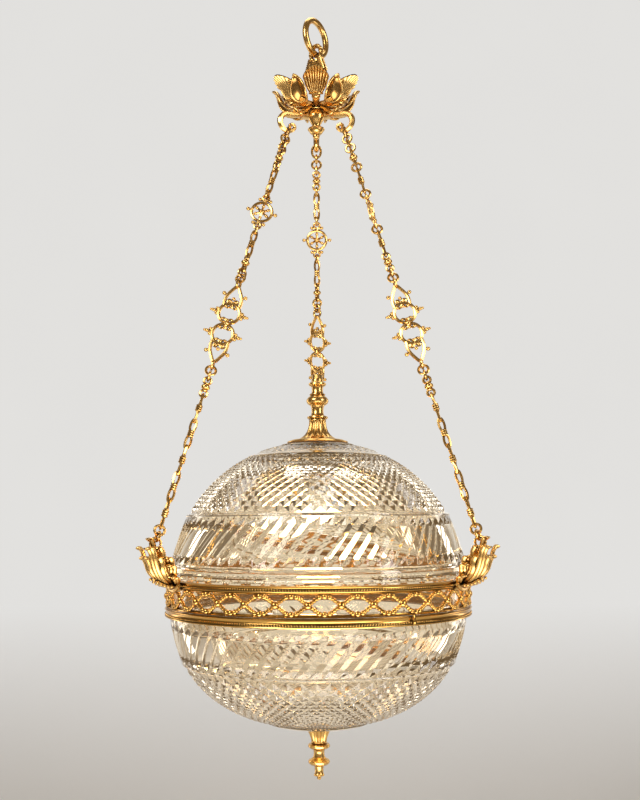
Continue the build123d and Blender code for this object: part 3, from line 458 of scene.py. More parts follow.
def stirrup():
    """Three strands, three collars, spiked flanks and a turned foot."""
    form = Form()
    across = Vector((-sin(RING_YAW), cos(RING_YAW), 0))
    normal = across.cross(UP)
    middle = UP * loop_z
    leg = [(-10.4, -23, 0), (-8, -16.5, 1.6), (-3.5, -11.8, 2.8), (2.6, -7.6, 2.4), (6.8, -2.8, 1.2)]
    arch = [pi * k / 11 for k in range(12)]
    path = [middle + across * x + UP * y + normal * n for x, y, n in leg]
    path += [middle + across * (7.8 * cos(t)) + UP * (3.4 + 10.4 * sin(t)) for t in arch]
    path += [middle - across * x + UP * y - normal * n for x, y, n in reversed(leg)]
    path = flow(path, 150)
    strands, lay, winding_r = 3, 13, 1.3
    for k in range(strands):
        strand, run = [], 0.0
        for i, (p, aim) in enumerate(zip(path, aims_along(path))):
            run += (p - path[i - 1]).length if i else 0
            out = aim.cross(normal).normalized()
            turn = TAU * (run / lay + k / strands)
            strand.append(p + out * (winding_r * cos(turn)) + normal * (winding_r * sin(turn)))
        form.tube(strand, 1.8, 8)
    form.lathe(raised(foot_top, [(5.4, -0.2), (5.6, 4), (4.8, 9), (3.4, 13.2), (2, 15.8), (0.6, 16.6)]), 40)
    for k in range(3):
        hub = UP * (loop_z - 11.4 - 2.5 * k)
        wide, deep = 7.6 + 1.4 * k, 6.8 + 0.8 * k
        form.tube([hub + across * (wide * cos(a)) + normal * (deep * sin(a)) + UP * (1.2 * sin(a))
                   for a in turns(40)], 1.4, 8, closed=True)
    taper = [1.3, 1.3, 1.25, 1.2, 1.05, 0.85, 0.5]
    for turn in (1, -1):
        for k in range(8):
            for lean in (-1, 1):
                root = middle + across * (turn * (4.6 + 0.8 * k)) + UP * (-8.0 - 2.3 * k) + normal * (lean * 3.4)
                tip = root + across * (turn * 4.6) + UP * 4.6 + normal * (lean * 0.6)
                bow = root.lerp(tip, 0.55) + across * (turn * 0.9)
                form.tube(flow([root, bow, tip], len(taper)), taper, 6)
    form.lathe(raised(rod_top, [(6, 0), (9.5, 0.4), (11.2, 1.6), (11.2, 2.4), (12, 3), (12, 5)])
               + raised(foot_top, [(11, 0), (5, 0.6)]), 48)
    show("stirrup_rope", form, GILT, "corona", ["corona_loop"])


# Corona
def corona_baluster():
    turned("corona_vase", "corona_baluster", "corona", raised(vase_low, [
        (0.6, -16.2), (2.6, -15.8), (4.2, -14.2), (4.6, -12.2), (4, -10.6), (4.2, -10), (6.2, -9.4), (8.2, -7.4),
        (9.2, -5.2), (9.5, -4.4), (10.5, -4), (10.9, -3.2), (10.5, -2.4), (8, -1.9), (5.4, -1.2), (4.8, 0),
        (5, 1.5), (6.3, 4.2), (8.4, 7.8), (10.1, 11), (10.8, 14), (10.4, 17.4), (8.8, 20.4), (7.2, 21.6),
        (6.6, 22.2), (7.6, 22.8), (8, 23.6), (7.4, 24.4), (6, 25), (4.8, 25.2),
    ]) + raised(rod_top, [(4.8, 0), (3, 0.2)]), 48)


def corona_arms():
    form = Form()
    low = vase_top + 0.3
    form.lathe(raised(low, [(5.4, 0), (9, 0.3), (10.6, 1.8), (10.6, 5), (9.4, 6.6), (5.4, 7)]), 40)
    lean = radians(24)
    thick = [4.2, 4.1, 4, 4, 4, 4, 4, 4.1, 4.2, 4.3, 4.6, 4.8, 5, 5.2]
    collar = [(3, -3.4), (5, -3.2), (5.6, -2.2), (5.6, -1), (5.4, 0), (5.8, 0.4), (8.4, 0.6), (9.2, 1.4),
              (9.2, 2.4), (8.4, 3.2), (6.2, 3.6), (3, 3.8)]
    for az in PALMETTE_SIDES:
        form.tube(flow(along(az, low, [(7, 3.4), (18, 2), (28, 0.4), (35.4, 0.2)]), len(thick)), thick, 14)
        form.lathe(collar, 32, base=at(az, 36.2, low + 1), axis=at(az, sin(lean), cos(lean)))
    show("corona_arms", form, GILT, "corona", ["corona_spider"])


def shell_palmettes():
    form = Form()
    rise = [(37.2, 0), (40, 7.4), (44, 14.6), (49.4, 21.4), (57.4, 26.6)]
    for az in PALMETTE_SIDES:
        form.lobe(flow(along(az, vase_top + 2.2, rise), 30), lambda v: 6.4 + 10.2 * v ** 0.8, at(az + 90, 1, 0),
                  ribs=9, rib=1.7, cup=-0.1, thick=1.6, arc=16.5, scallop=2.6, across=108)
    show("shell_palmettes", form, SHELL_GILT, "corona", ["corona_palmettes"], crease=45)


def pointed_leaves():
    """Hollow faces darkened with painted shade, with bright rims and tips, on stalks, each over a small petal."""
    face, rims = Form(), Form()
    low = vase_top
    steps = 34
    rise = [(30, -1), (35, 1.2), (40, 6), (43.6, 12), (46.6, 17.6), (50.6, 21.8), (56, 22.6)]

    def half_wide(v):
        return 3.4 * (1 - v) + 8.2 * sin(pi * v ** 0.78) ** 1.2

    def petal_wide(v):
        return 1.6 * (1 - v) + 7.2 * sin(pi * max(0.0, (v - 0.3) / 0.7)) ** 0.7

    for az in LEAF_SIDES:
        side = at(az + 90, 1, 0)
        path = flow(along(az, low, rise), steps)
        aims = aims_along(path)
        face.lobe(path, half_wide, side, ribs=2, rib=0.3, cup=0.5, thick=1.5, across=20)
        for turn in (1, -1):
            rim = []
            for k, (p, aim) in enumerate(zip(path, aims)):
                wide = max(half_wide(k / (steps - 1)), LEAST_HALF)
                rim.append(p + side * (wide * turn) + side.cross(aim).normalized() * (0.5 * wide - 0.3))
            rims.tube(rim, [1.5] * (steps - 2) + [1.1, 0.7], 8)
        tip = flow([path[-9], path[-5] + side.cross(path[-1] - path[-5]).normalized() * 0.8, path[-1]], 10)
        rims.lobe(tip, lambda v: 4.6 * (1 - v) ** 0.7, side, ribs=1, rib=0.8, thick=1.0, across=10)
        rims.tube(along(az, low, [(8, 3.6), (20, 0.8), (31, -0.6)]), [2.8, 2.4, 2.2], 10)
        petal = flow(along(az, low, [(9.5, 2.2), (15, -0.6), (21, -3.2), (29, -2.8), (37, 0.2)]), 22)
        rims.lobe(petal, petal_wide, side, ribs=1, rib=0.5, cup=0.12, thick=1.3, across=14)
    show("pointed_leaves", face, SHADED_LEAF_GILT, "corona", ["corona_leaves"], crease=50)
    show("pointed_leaf_rims", rims, GILT, "corona", crease=50)


def chain_hooks():
    bend, thick, thin_from = 11, 3.7, 0.45
    for side, az in CHAIN_SIDES.items():
        form = Form()
        out, tangent = at(az, 1, 0), at(az + 90, 1, 0)
        middle = at(az, HOOK_R, hook_seat + bend)
        arm = along(az, hook_seat, [(9, 39), (14, 34), (20, 28.4), (28, 24), (HOOK_R, 2 * bend)])
        path = flow(arm, 22)[:-1]
        path += arc_points(middle, out, UP, bend, 90, -145, 40)
        tip = path[-1] + out * 2.6 + UP * 2.0
        path += arc_points(tip, out, UP, 3.3, 218, 20, 12)[1:]
        n = len(path)
        radii = [thick if k < thin_from * n else thick - 1.9 * (k / n - thin_from) / 0.55 for k in range(n)]
        form.tube(path, radii, 8, flat=1.12, turn=0.5)
        form.ball(path[-1], 2.5, tangent, 1.15)
        calyx = flow(along(az, hook_seat, [(13, 30), (18, 25.4), (24, 24.2), (29, 28.2), (32, 34)]), 18)
        form.lobe(calyx, lambda v: 6.2 * sin(pi * (0.08 + 0.88 * v)) ** 0.8, tangent,
                  ribs=5, rib=0.9, cup=0.1, thick=1.4, across=30)
        show(f"scroll_hook_{side}", form, GILT, "corona", [f"chain_hook_{side}"])


# Chains
UPPER = ["hook", *["ring"] * 3, "bead", "ring", "long", "ring"]
MIDDLE = ["ring", "long", "bead", *["ring"] * 3]
LOWER = [*["ring"] * 3, "bead", *["long"] * 5, "ring", "ring"]
ROUNDEL_TWIST = {"left": 120, "right": 150, "back": 0.0}
PLAQUE_TWIST = {"left": 120, "right": 60, "back": 40.0}
PITCH = {"hook": 16, "ring": 10.4, "bead": 24, "roundel": 46, "plaque": 102.0}
chain_run = hypot(EYE_R - HOOK_R, CHAIN_DROP)
down_r, down_z = (EYE_R - HOOK_R) / chain_run, -CHAIN_DROP / chain_run
chain_order = UPPER + ["roundel"] + MIDDLE + ["plaque"] + LOWER
roundel_at, plaque_at = len(UPPER), len(UPPER) + 1 + len(MIDDLE)
chain_start = -5.9
lap = WIRE + LINK_GAP
long_pitch = (chain_run - chain_start + (len(chain_order) - 1) * lap
              - sum(PITCH.get(kind, 0) for kind in chain_order)) / chain_order.count("long")


def chain_places(side):
    """Each link's kind, place along the chain, half pitch and twist, as the solids have them."""
    anchors = [0, roundel_at, plaque_at, len(chain_order) - 1]
    targets = [0.0, ROUNDEL_TWIST[side], PLAQUE_TWIST[side], 0.0]
    twists = {0: 0.0}
    for first, last, start, end in zip(anchors, anchors[1:], targets, targets[1:]):
        steps = last - first
        turn = 90 * steps + (end - start - 90 * steps + 90) % 180 - 90
        for k in range(1, steps + 1):
            twists[first + k] = twists[first] + turn * k / steps
    places, s = [], chain_start
    for i, kind in enumerate(chain_order):
        pitch = PITCH.get(kind, long_pitch)
        places.append((kind, s + pitch / 2, pitch / 2, twists[i]))
        s += pitch - lap
    return places


class Link:
    """One link's own axes: x across it, y down the chain, z out of its face."""

    def __init__(self, form, azimuth, s, twist):
        self.form = form
        p = radians(twist)
        out = at(azimuth, 1, 0)
        self.down = out * down_r + UP * down_z
        self.across = at(azimuth + 90, 1, 0) * cos(p) + (out * -down_z + UP * down_r) * sin(p)
        self.face = self.across.cross(self.down)
        self.middle = at(azimuth, HOOK_R, hook_seat) + self.down * s

    def spot(self, x, y, z=0.0):
        return self.middle + self.across * x + self.down * y + self.face * z

    def wire(self, points, radius, sides=8, closed=False):
        self.form.tube([self.spot(*p) for p in points], radius, sides, closed)

    def circle(self, x, y, radius, wire, count=24):
        """A ring of wire in the link's face."""
        self.wire([(x + radius * cos(a), y + radius * sin(a)) for a in turns(count)], wire, closed=True)

    def collar(self, y, wide, deep, wire, count=16, sides=8):
        """A ring of wire around the chain."""
        self.wire([(wide * cos(a), y, deep * sin(a)) for a in turns(count)], wire, sides, closed=True)

    def knob(self, x, y, radius):
        self.form.ball(self.spot(x, y), radius, self.across)

    def curve(self, points, radius, count):
        path = flow([Vector((*p, 0)) for p in points], count)
        self.wire([tuple(p) for p in path], radius)


def ring_link(link, half):
    link.wire([(5.8 * cos(a), half * sin(a)) for a in turns(28)], WIRE / 2 + 0.1, 10, closed=True)


def long_link(link, half):
    """A loop turned a half turn about its waist, bound by three collars."""
    path = []
    for t in turns(64):
        y = half * cos(t)
        waist = 0.5 + 0.5 * (1 - exp(-(y / (0.4 * half)) ** 2))
        wide = 3.7 * sin(t) / max(abs(sin(t)), 0.2) ** 0.35 * waist
        spin = pi / 2 * (1 + sin(pi / 2 * max(-1, min(1, y / (0.45 * half)))))
        path.append((wide * cos(spin), y, wide * sin(spin)))
    link.wire(path, 1.5, closed=True)
    for y in (-2.6, 0, 2.6):
        link.collar(y, 2.6, 2.6, 1.35)


def bead_link(link, half):
    for turn in (1, -1):
        link.circle(0, turn * (half - 4.1), 4.1, 1.6)
        link.wire([(0, turn * (half - 7.6)), (0, turn * 3)], 1.9)
        link.collar(turn * 4.4, 2.2, 2.2, 1.1, sides=6)
    link.form.ball(link.middle, 5.3, link.down, 0.68, 16, 10)


def roundel(link, half):
    """A ring with a rosette of six spokes, and knobs around it."""
    link.circle(0, 0, 12.5, 1.9, 48)
    link.knob(0, 0, 3)
    for k in range(6):
        a = TAU * (k + 0.5) / 6
        c, s = cos(a), sin(a)
        link.wire([(r * c, r * s) for r in (2, 5, 7.6, 11.4)], [1.7, 1.5, 1.25, 1])
        link.knob(7.9 * c, 7.9 * s, 2.15)
    for x in (1, -1):
        link.wire([(x * 13, 0), (x * 16.2, 0)], 1.4)
        link.knob(x * 17.2, 0, 2.4)
        for y in (1, -1):
            link.curve([(x * 1.6, y * 16.8), (x * 4.2, y * 15.6), (x * 6.2, y * 16.2)], 1.4, 8)
            link.knob(x * 6.6, y * 15.9, 2.25)
    for y in (1, -1):
        link.wire([(0, y * 13), (0, y * (half - 6))], 2.2)
        link.circle(0, y * (half - 3.8), 3.8, 1.5)


def plaque(link, half):
    """Two scrolled rings between pointed arches, with trefoils at their sides."""
    r, mid = 12.4, 13.4
    arch = [(4.4, 43.6), (8.2, 36.5), (9.8, 29.5), (9.2, 21.6)]
    scroll = [(0.8, 25.8), (3.4, 30.4), (6.2, 29.2), (5.4, 26.4)]
    hook = [(0.6, 0), (2.2, 3.2), (4.8, 4.4), (6.4, 3)]
    for y in (1, -1):
        link.circle(0, y * mid, r, 2.1, 44)
        for x in (1, -1):
            for side in (1, -1):
                inner = y * mid + side * (r - 1.2)
                link.curve([(x * a, inner - side * b) for a, b in hook], 1.4, 10)
                link.knob(x * 6, inner - side * 3.2, 2.1)
            for dx, dy in ((2.6, -2.8), (2.6, 2.8), (6.6, 0)):
                link.knob(x * (r + dx), y * mid + dy, 2.4)
            link.wire([(x * (r + 0.5), y * mid), (x * (r + 8), y * mid)], 1.5)
            link.knob(x * (r + 9.6), y * mid, 1.7)
            link.curve([(x * a, y * b) for a, b in [(1.3, half - 2.4), *arch]], 2.1, 18)
            link.wire([(x * 9, y * 35), (x * 12, y * 36.6)], 1.5)
            link.knob(x * 13, y * 37, 2.5)
            link.curve([(x * a, y * b) for a, b in scroll], 1.4, 10)
            link.knob(x * 3.6, y * 28.2, 2.1)
        link.wire([(1.6, y * (half - 2.3)), (-1.6, y * (half - 2.3))], 2.1)
        link.knob(0, y * 32.4, 2.3)
        link.knob(0, y * 27, 2.1)
        for side in (1, -1):
            link.knob(0, y * mid + side * (r - 4), 2.1)
    link.form.ball(link.middle, 3.6, link.down, 1.2, 14, 8)
    link.collar(0, 3.9, 3, 1.1, 20, 6)


LINKS = {"hook": ring_link, "ring": ring_link, "long": long_link, "bead": bead_link, "roundel": roundel,
         "plaque": plaque}


def chains():
    for side, azimuth in CHAIN_SIDES.items():
        places = chain_places(side)
        cuts = [0, roundel_at, roundel_at + 1, plaque_at, plaque_at + 1, len(places)]
        runs = ["upper_links", "roundel", "middle_links", "plaque", "lower_links"]
        for run, first, end in zip(runs, cuts, cuts[1:]):
            form = Form()
            for kind, s, half, twist in places[first:end]:
                LINKS[kind](Link(form, azimuth, s, twist), half)
            show(f"chain_{side}_{run}_wire", form, GILT, f"chain_{side}", [f"chain_{side}_{run}"])


# Band
def band_moulding():
    turned("band_moulding_turned", "band_moulding", "globe", raised(fret_top, [
        (175.6, 0), (179.6, 0), (180.3, 0.3), (180.5, 0.8), (180.2, 1.3), (178.7, 1.5), (178.7, 3.9), (179.5, 4),
        (179.4, 4.7), (179.6, 5.3), (180.1, 5.9), (180.8, 6.3), (181, 6.7), (180.7, 7), (175.6, 7), (175.6, 0)]),
        144, BAND_GILT, beads=(179.3, fret_top + 2.7, 1.28), close=False)


def band_lattice():
    """Beaded diamonds between two rims, with a boss at each crossing and a trefoil above and below."""
    form = Form()
    low, high = base_low + 0.2, fret_top
    r, z = 178.7, (low + high) / 2
    for a, b in ((low, low + 1.6), (high - 1.6, high)):
        form.lathe([(r - 2.6, a), (r - 0.3, a), (r + 0.3, (a + b) / 2), (r - 0.3, b), (r - 2.6, b), (r - 2.6, a)],
                   132, close=False)
    cell = TAU * r / FRET_CELLS

    def lattice(s, h, lift=0.0):
        a = s / r + TAU / FRET_CELLS / 2 + FRET_TURN
        return Vector(((r - 0.9 + lift) * cos(a), (r - 0.9 + lift) * sin(a), z + h))

    for k in range(FRET_CELLS):
        s = k * cell
        out = lattice(s + cell / 2, 0) - UP * z
        form.ball(lattice(s + cell / 2, 0, 0.9), 4.2, out, 0.8, 14, 8)
        for y in (1, -1):
            form.ball(lattice(s, y * 9, 0.3), 3.3, out, 0.8, 12, 7)
            for x in (1, -1):
                form.ball(lattice(s + x * 5.2, y * 8.2, 0.3), 2.8, out, 0.8, 12, 7)
                start, end = lattice(s + x * cell / 2, 0), lattice(s + x * 6, y * 7.9)
                form.tube([start, end], 1.3, 8)
                for t in (0.34, 0.6, 0.85):
                    form.ball(start.lerp(end, t), 2.3, end - start, 1.1, 10, 6)
                form.tube([lattice(s + x * 4.6, y * 9), lattice(s + x * 6, y * 11.8)], 1.2, 6)
    show("band_lattice", form, BAND_GILT, "globe", ["band_fretwork"])


def band_base():
    inner, outer = BAND_R - 11, 175.6
    turned("band_base_turned", "band_base", "globe", [
        (inner, base_low), (outer, base_low), (175.9, (base_low + fret_low) / 2), (outer, fret_low),
        (inner, fret_low), (inner, base_low)], 144, BAND_GILT, close=False)


def lower_ring():
    inner, lip = BAND_R - RIM_WALL, BAND_R - 3
    turned("lower_ring_turned", "lower_ring", "lower_bowl", raised(lower_low, [
        (inner, 0), (179.8, 0), (180.7, 0.4), (180.9, 1), (180.6, 1.6), (178.7, 1.9), (178.7, 4.4), (179.6, 4.5),
        (179.4, 5.2), (179.5, 6.2), (180, 7.2), (180.7, 7.9), (181, 8.4), (180.6, 8.9), (178.2, 9.1),
        (178.2, 10.2), (lip, 10.2), (lip, 4.9), (inner, 4.9), (inner, 0)]),
        144, BAND_GILT, beads=(179.4, lower_low + 3.15, 1.32), close=False)


# Leaf brackets: each lobe by points out from the band, sideways and up, and its half width
LEAF_LOBES = (
    ((1.2, 0, -6.5), (11, 0, -2.5), (20.5, 0, 5.5), (24.6, 0, 17.5), (26, 0, 30.5), (27, 0, 40.5), (29.4, 0, 45.5),
     6.8),
    ((2.4, 3, -5.5), (12.8, 7, -2.5), (21.4, 10.5, 4.5), (27, 13, 13.5), (30.6, 14.5, 23.5), (32.8, 15, 31.5),
     (35.6, 15.4, 36), 5.4),
    ((5.3, 2, -4.5), (16.5, 4, -0.5), (24, 6, 5.5), (29, 7.4, 12.5), (31.6, 8, 20), (34.2, 8.3, 25.4), 6.2),
    ((3.8, 2, -2.5), (11, 5, 3.5), (17.3, 7.6, 12.5), (20.4, 9, 22), (21.2, 9.8, 31), (23.8, 10.2, 36), 6),
    ((3.8, 3, -4.5), (12, 8, 0.5), (19.2, 11.6, 7), (22.8, 13.4, 14.5), (24, 14, 21.5), (26.6, 14.4, 25), 6.2),
    ((2.4, 3, -2.5), (6.4, 8, 3.5), (9.8, 11.6, 10.5), (11.8, 13.4, 18), (12.4, 14, 23), (14.6, 14.4, 25.6), 5.8),
    ((1.2, 4, -3.5), (4.2, 10, 0.5), (7.4, 14, 6), (9.4, 16.4, 12), (10, 17.2, 15.8), (12.2, 17.6, 17.4), 5.4),
    ((0.4, 6, -5.5), (2, 12, -3), (4.4, 16, 0.2), (6.2, 17.8, 3.4), (8.2, 18.4, 5), 4.8),
)


def leaf_brackets():
    root = BAND_R / cos(pi / 32) + 0.4

    def rounded(wide):
        """Half widths of a lobe that swells from its root and ends round."""
        def half_wide(v):
            swell = 0.45 + 0.55 * sin(pi / 2 * min(1, v * 1.6))
            return wide * swell * sqrt(max(0, 1 - (max(0, v - 0.8) / 0.2) ** 2))
        return half_wide

    for side, az in CHAIN_SIDES.items():
        form = Form()
        tangent, radial = at(az + 90, 1, 0), at(az, 1, 0)

        def spot(r, t, z):
            return at(az, root + r, band_top + z, t)

        for *points, wide in LEAF_LOBES:
            paired = points[1][1]
            for turn in (1, -1) if paired else (1,):
                r, t, z = points[-1]
                curl = [(r + 1.4, t, z + 0.4), (r + 2.6, t, z - 0.8)]
                path = flow([spot(r, turn * t, z) for r, t, z in points + curl], 34)
                aim = path[16] - path[8]
                flank = tangent * 0.8 - radial * (turn * 0.6) if paired else tangent
                flank = (flank - aim * (flank.dot(aim) / aim.length_squared)).normalized()
                form.lobe(path, rounded(wide), flank, ribs=2, rib=1.3, cup=-0.3, thick=2.6, across=22)
        foot = [spot(r, 0, z) for r, z in ((-0.4, -11), (2.4, -8), (7, -6.6), (15, -4.6), (24, 0.6))]
        form.lobe(flow(foot, 20), lambda v: 15.5 - 6.5 * v, tangent,
                  ribs=1, rib=0.4, cup=-0.22, thick=2.2, across=28)
        form.tube([spot(2, t, -9.4 + 6.2 * (abs(t) / 17) ** 2) for t in range(-17, 18, 2)], 2.3, 12)
        for k in range(6):
            for turn in (1, -1):
                form.ball(spot(7 + 3.8 * k, turn * (9.4 - 0.8 * k), -4.6 + 0.3 * k * k), 1.9)
        down, tilt = at(az, down_r, down_z), at(az, -down_z, down_r)
        eye = at(az, EYE_R, eye_z)
        form.tube(loop_points(eye + down * 2.65, tilt, down, 6, 30), 1.5, 10, closed=True)
        form.tube(flow([eye + down * 8.6, eye + down * 20, spot(21, 0, 5)], 10), [2.2] * 8 + [2.6, 2.8], 10)
        form.ball(eye + down * 10.4, 2.9, down, 0.7)
        show(f"leaf_bracket_{side}", form, GILT, "globe", [f"bracket_{side}"], crease=45)


# Cut glass
def bowl_radius(z, half_width, half_height, power):
    return half_width * max(1 - (abs(z - globe_mid) / half_height) ** power, 0) ** (1 / power)


def dome_r(z):
    return bowl_radius(z, DOME_W, DOME_H, DOME_POWER)


def bowl_r(z):
    return bowl_radius(z, BOWL_W, BOWL_H, BOWL_POWER)


def plain_rows(form, last, profile, count, shift=0.0):
    """Smooth rows of glass, joined to the last row."""
    for r, z in profile:
        row = form.ring([(r * cos(a + shift), r * sin(a + shift), z) for a in turns(count)])
        if last:
            form.zip_rings(last, row)
        last = row
    return last


def flute_rows(form, last, radius, low, high, flutes, lean):
    """A belt of slanted V-cut flutes with pointed ends."""
    fine, rows = 8, 26
    count = flutes * fine
    for k in range(rows + 1):
        v = k / rows
        z = low + (high - low) * v
        chord = radius(low) + (radius(high) - radius(low)) * v
        close = max(0.0, 1 - min(v, 1 - v) / 0.17)
        points = []
        for c in range(count):
            u = (c % fine) / fine
            a = TAU * c / count + lean * v
            r = (chord + radius(z)) / 2 - FLUTE_DEPTH * max(0.0, 1 - abs(2 * u - 1) - close)
            points.append((r * cos(a), r * sin(a), z))
        row = form.ring(points)
        form.zip_rings(last, row)
        last = row
    return last


def diamond_rows(form, last, radius, low, high, around, depth, shift):
    """Hobnail diamonds: four-sided points between crossing cuts, smaller towards the pole."""
    way = 1 if high > low else -1
    heights = [low]
    while (high - heights[-1]) * way > 0:
        z = heights[-1]
        slope = (radius(z + 0.1 * way) - radius(z)) / 0.1
        heights.append(z + way * pi * radius(z) / around / sqrt(1 + slope ** 2))
    spread = (high - low) / (heights[-1] - low)
    heights = [low + (z - low) * spread for z in heights]
    count = 2 * around
    before = None
    for k, z in enumerate(heights):
        slope = (radius(z + 0.1) - radius(z - 0.1)) / 0.2
        tall = depth * radius(z) / radius(low) if 0 < k < len(heights) - 1 else 0.0
        points = []
        for m in range(count):
            a = TAU * m / count + shift
            lift = tall if (m + k) % 2 else 0.0
            r = radius(z) - depth + lift / sqrt(1 + slope ** 2)
            points.append((r * cos(a), r * sin(a), z - lift * slope / sqrt(1 + slope ** 2)))
        row = form.ring(points)
        if before is None:
            form.zip_rings(last, row)
        else:
            for m in range(count):
                n = (m + 1) % count
                if (m + k - 1) % 2:
                    form.faces += [(before[m], before[n], row[m]), (before[n], row[n], row[m])]
                else:
                    form.faces += [(before[m], before[n], row[n]), (before[m], row[n], row[m])]
        before = row
    return before


def upper_glass():
    form = Form()
    flutes, fine, coarse = 72, 288, 144
    foot = fret_low + 0.3
    neck = raised(foot, [(167.5, 0), (172.6, 0), (173, 0.5)])
    bead = raised(band_top, [
        (173, 1.2), (174.6, 2.2), (176.6, 3.4), (177.2, 5), (177, 6.6), (176.2, 7.4), (177.6, 8.2), (178.7, 9.8),
        (179, 11.8), (178.6, 13.8), (177.4, 15.4)])
    shoulder = [(dome_r(band_top + 17) - 0.8, band_top + 16.2), (dome_r(band_top + 18), band_top + 18)]
    last = plain_rows(form, None, neck + bead + shoulder, fine)
    low, high = band_top + 19, globe_mid + 91
    lean = (high - low) * FLUTE_SLANT / 168
    last = flute_rows(form, last, dome_r, low, high, flutes, lean)
    step = high + 1
    last = plain_rows(form, last, [
        (dome_r(step), step), (dome_r(step) + 0.5, step + 1.2), (dome_r(step) + 0.3, step + 2.6),
        (dome_r(step) - 1.2, step + 3.4), (dome_r(step + 4) - 3.2, step + 4)], fine, lean)
    crown = globe_mid + 162.5
    last = diamond_rows(form, last, lambda z: dome_r(z) - 0.6, step + 4.2, crown, flutes, 2.7, lean)
    last = plain_rows(form, last, [
        (dome_r(crown + 0.6) - 2.2, crown + 0.6), (dome_r(crown + 1) - 0.4, crown + 1.4),
        (dome_r(crown + 3) - 0.2, crown + 3), (dome_r(crown + 4) - 1.8, crown + 4)], coarse, lean)
    last = diamond_rows(form, last, lambda z: dome_r(z) - 0.8, crown + 4.4, dome_pole - 4.6, flutes // 2, 1.8, lean)
    pole = raised(dome_pole - 2.4, [(44, -0.8), (37, 0), (8, 0), (7, -0.6), (7, -6.2), (9, -6.6), (26, -6.8)])
    last = plain_rows(form, last, [*pole, (dome_r(crown) - 9, crown - 5)], coarse, lean)
    inner = [(dome_r(globe_mid + DOME_H * k) - GLASS_WALL, globe_mid + DOME_H * k - 2.5)
             for k in (0.8, 0.7, 0.6, 0.5, 0.42, 0.34, 0.27, 0.2)]
    plain_rows(form, last, [*inner, (166.8, band_top + 6), (166.5, band_top), (166.5, foot + 0.6), (167.5, foot)],
               fine, lean)
    show("upper_cut_glass", form, CRYSTAL, "globe", ["upper_glass"], crease=22)


def lower_glass():
    form = Form()
    flutes, fine, coarse = 64, 256, 128
    lip = BAND_R - RIM_WALL + 1.3
    rim = raised(ring_top, [(169, 0), (lip - 0.4, 0), (lip, -0.4), (lip, -4.8), (lip - 0.3, -5), (175.7, -5.1)])
    last = plain_rows(form, None, [
        *rim, (175.6, lower_low), (bowl_r(lower_low - 3) - 0.2, lower_low - 1),
        (bowl_r(lower_low - 5), lower_low - 5)], fine)
    low, high = lower_low - 6.5, globe_mid - 73
    lean = -(low - high) * FLUTE_SLANT / 166
    last = flute_rows(form, last, bowl_r, low, high, flutes, lean)
    step = high - 0.8
    last = plain_rows(form, last, [
        (bowl_r(step), step), (bowl_r(step) + 0.3, step - 1.2), (bowl_r(step - 2) + 0.2, step - 2.4),
        (bowl_r(step - 3) - 1.2, step - 3.2), (bowl_r(step - 4) - 3, step - 3.8)], fine, lean)
    base = bowl_pole + 5.4
    last = diamond_rows(form, last, lambda z: bowl_r(z) - 0.6, step - 4.2, base, flutes, 2.5, lean)
    edge = [(bowl_r(base) - 2, base - 0.4), (bowl_r(base) - 0.8, base - 1.2), (bowl_r(base) - 1.6, base - 2.4)]
    pole = raised(bowl_pole + 0.6, [(56, 1.4), (40, 0.4), (16.4, 0), (8, 0), (7, 0.6), (7, 6), (9, 6.5), (44, 7)])
    last = plain_rows(form, last, edge + pole, coarse, lean)
    inner = [(bowl_r(globe_mid - BOWL_H * k) - GLASS_WALL, globe_mid - BOWL_H * k + 3.4)
             for k in (0.93, 0.86, 0.78, 0.68, 0.58, 0.46, 0.34, 0.24)]
    plain_rows(form, last, inner + raised(ring_top, [(169, -6), (168.4, -0.6), (169, 0)]), fine, lean)
    form.faces = [face[::-1] for face in form.faces]
    show("lower_cut_glass", form, CRYSTAL, "lower_bowl", ["lower_glass"], crease=22)


# Stem, lamp and finial
def stem():
    turned("stem_plate_turned", "stem_plate", "globe", raised(plate_low, [
        (6.5, 0), (35.6, 0), (37, 0.8), (37.2, 1.7), (36.4, 2.5), (33.6, 2.9), (33.2, 3.4), (31.5, 4.2), (24, 4.6),
        (6.5, 4.6), (6.5, 0)]), 96, close=False)
    turned("stem_trumpet_fluted", "stem_trumpet", "globe", raised(plate_top, [
        (6.4, 0), (22, 0), (22.4, 0.9), (21.6, 1.8), (18.6, 3.6), (15.6, 6.4), (13.2, 10), (11.7, 14), (10.8, 18),
        (10.4, 22), (10.6, 23.6), (10.2, 25), (6.4, 25), (6.4, 0)]), 240,
        flute=fluted(plate_top + 1, plate_top + 22.8, 0.14), close=False)
    turned("stem_baluster_turned", "stem_baluster", "globe", raised(trumpet_top, [
        (6.4, 0), (9, 0.1), (11.8, 0.5), (12.9, 1.8), (12.6, 3.2), (10.2, 4.2), (8.6, 4.9), (7.7, 6.4), (7.3, 10),
        (7.5, 14), (8.4, 16.6), (8.8, 17.2), (10.2, 17.6), (12.4, 19.4), (13.6, 22), (13.4, 24.4), (11.6, 27),
        (9.4, 28.6), (8.9, 29.6), (9.8, 30.4), (9.6, 31.2), (7.6, 32), (6.9, 34), (6.8, 38.6), (7.4, 40.4),
        (9.6, 41.2), (10.8, 42.8), (10.6, 44.6), (8.8, 46), (7.6, 47), (7.4, 49.4), (6.4, 50), (6.4, 0)]), 64,
        close=False)


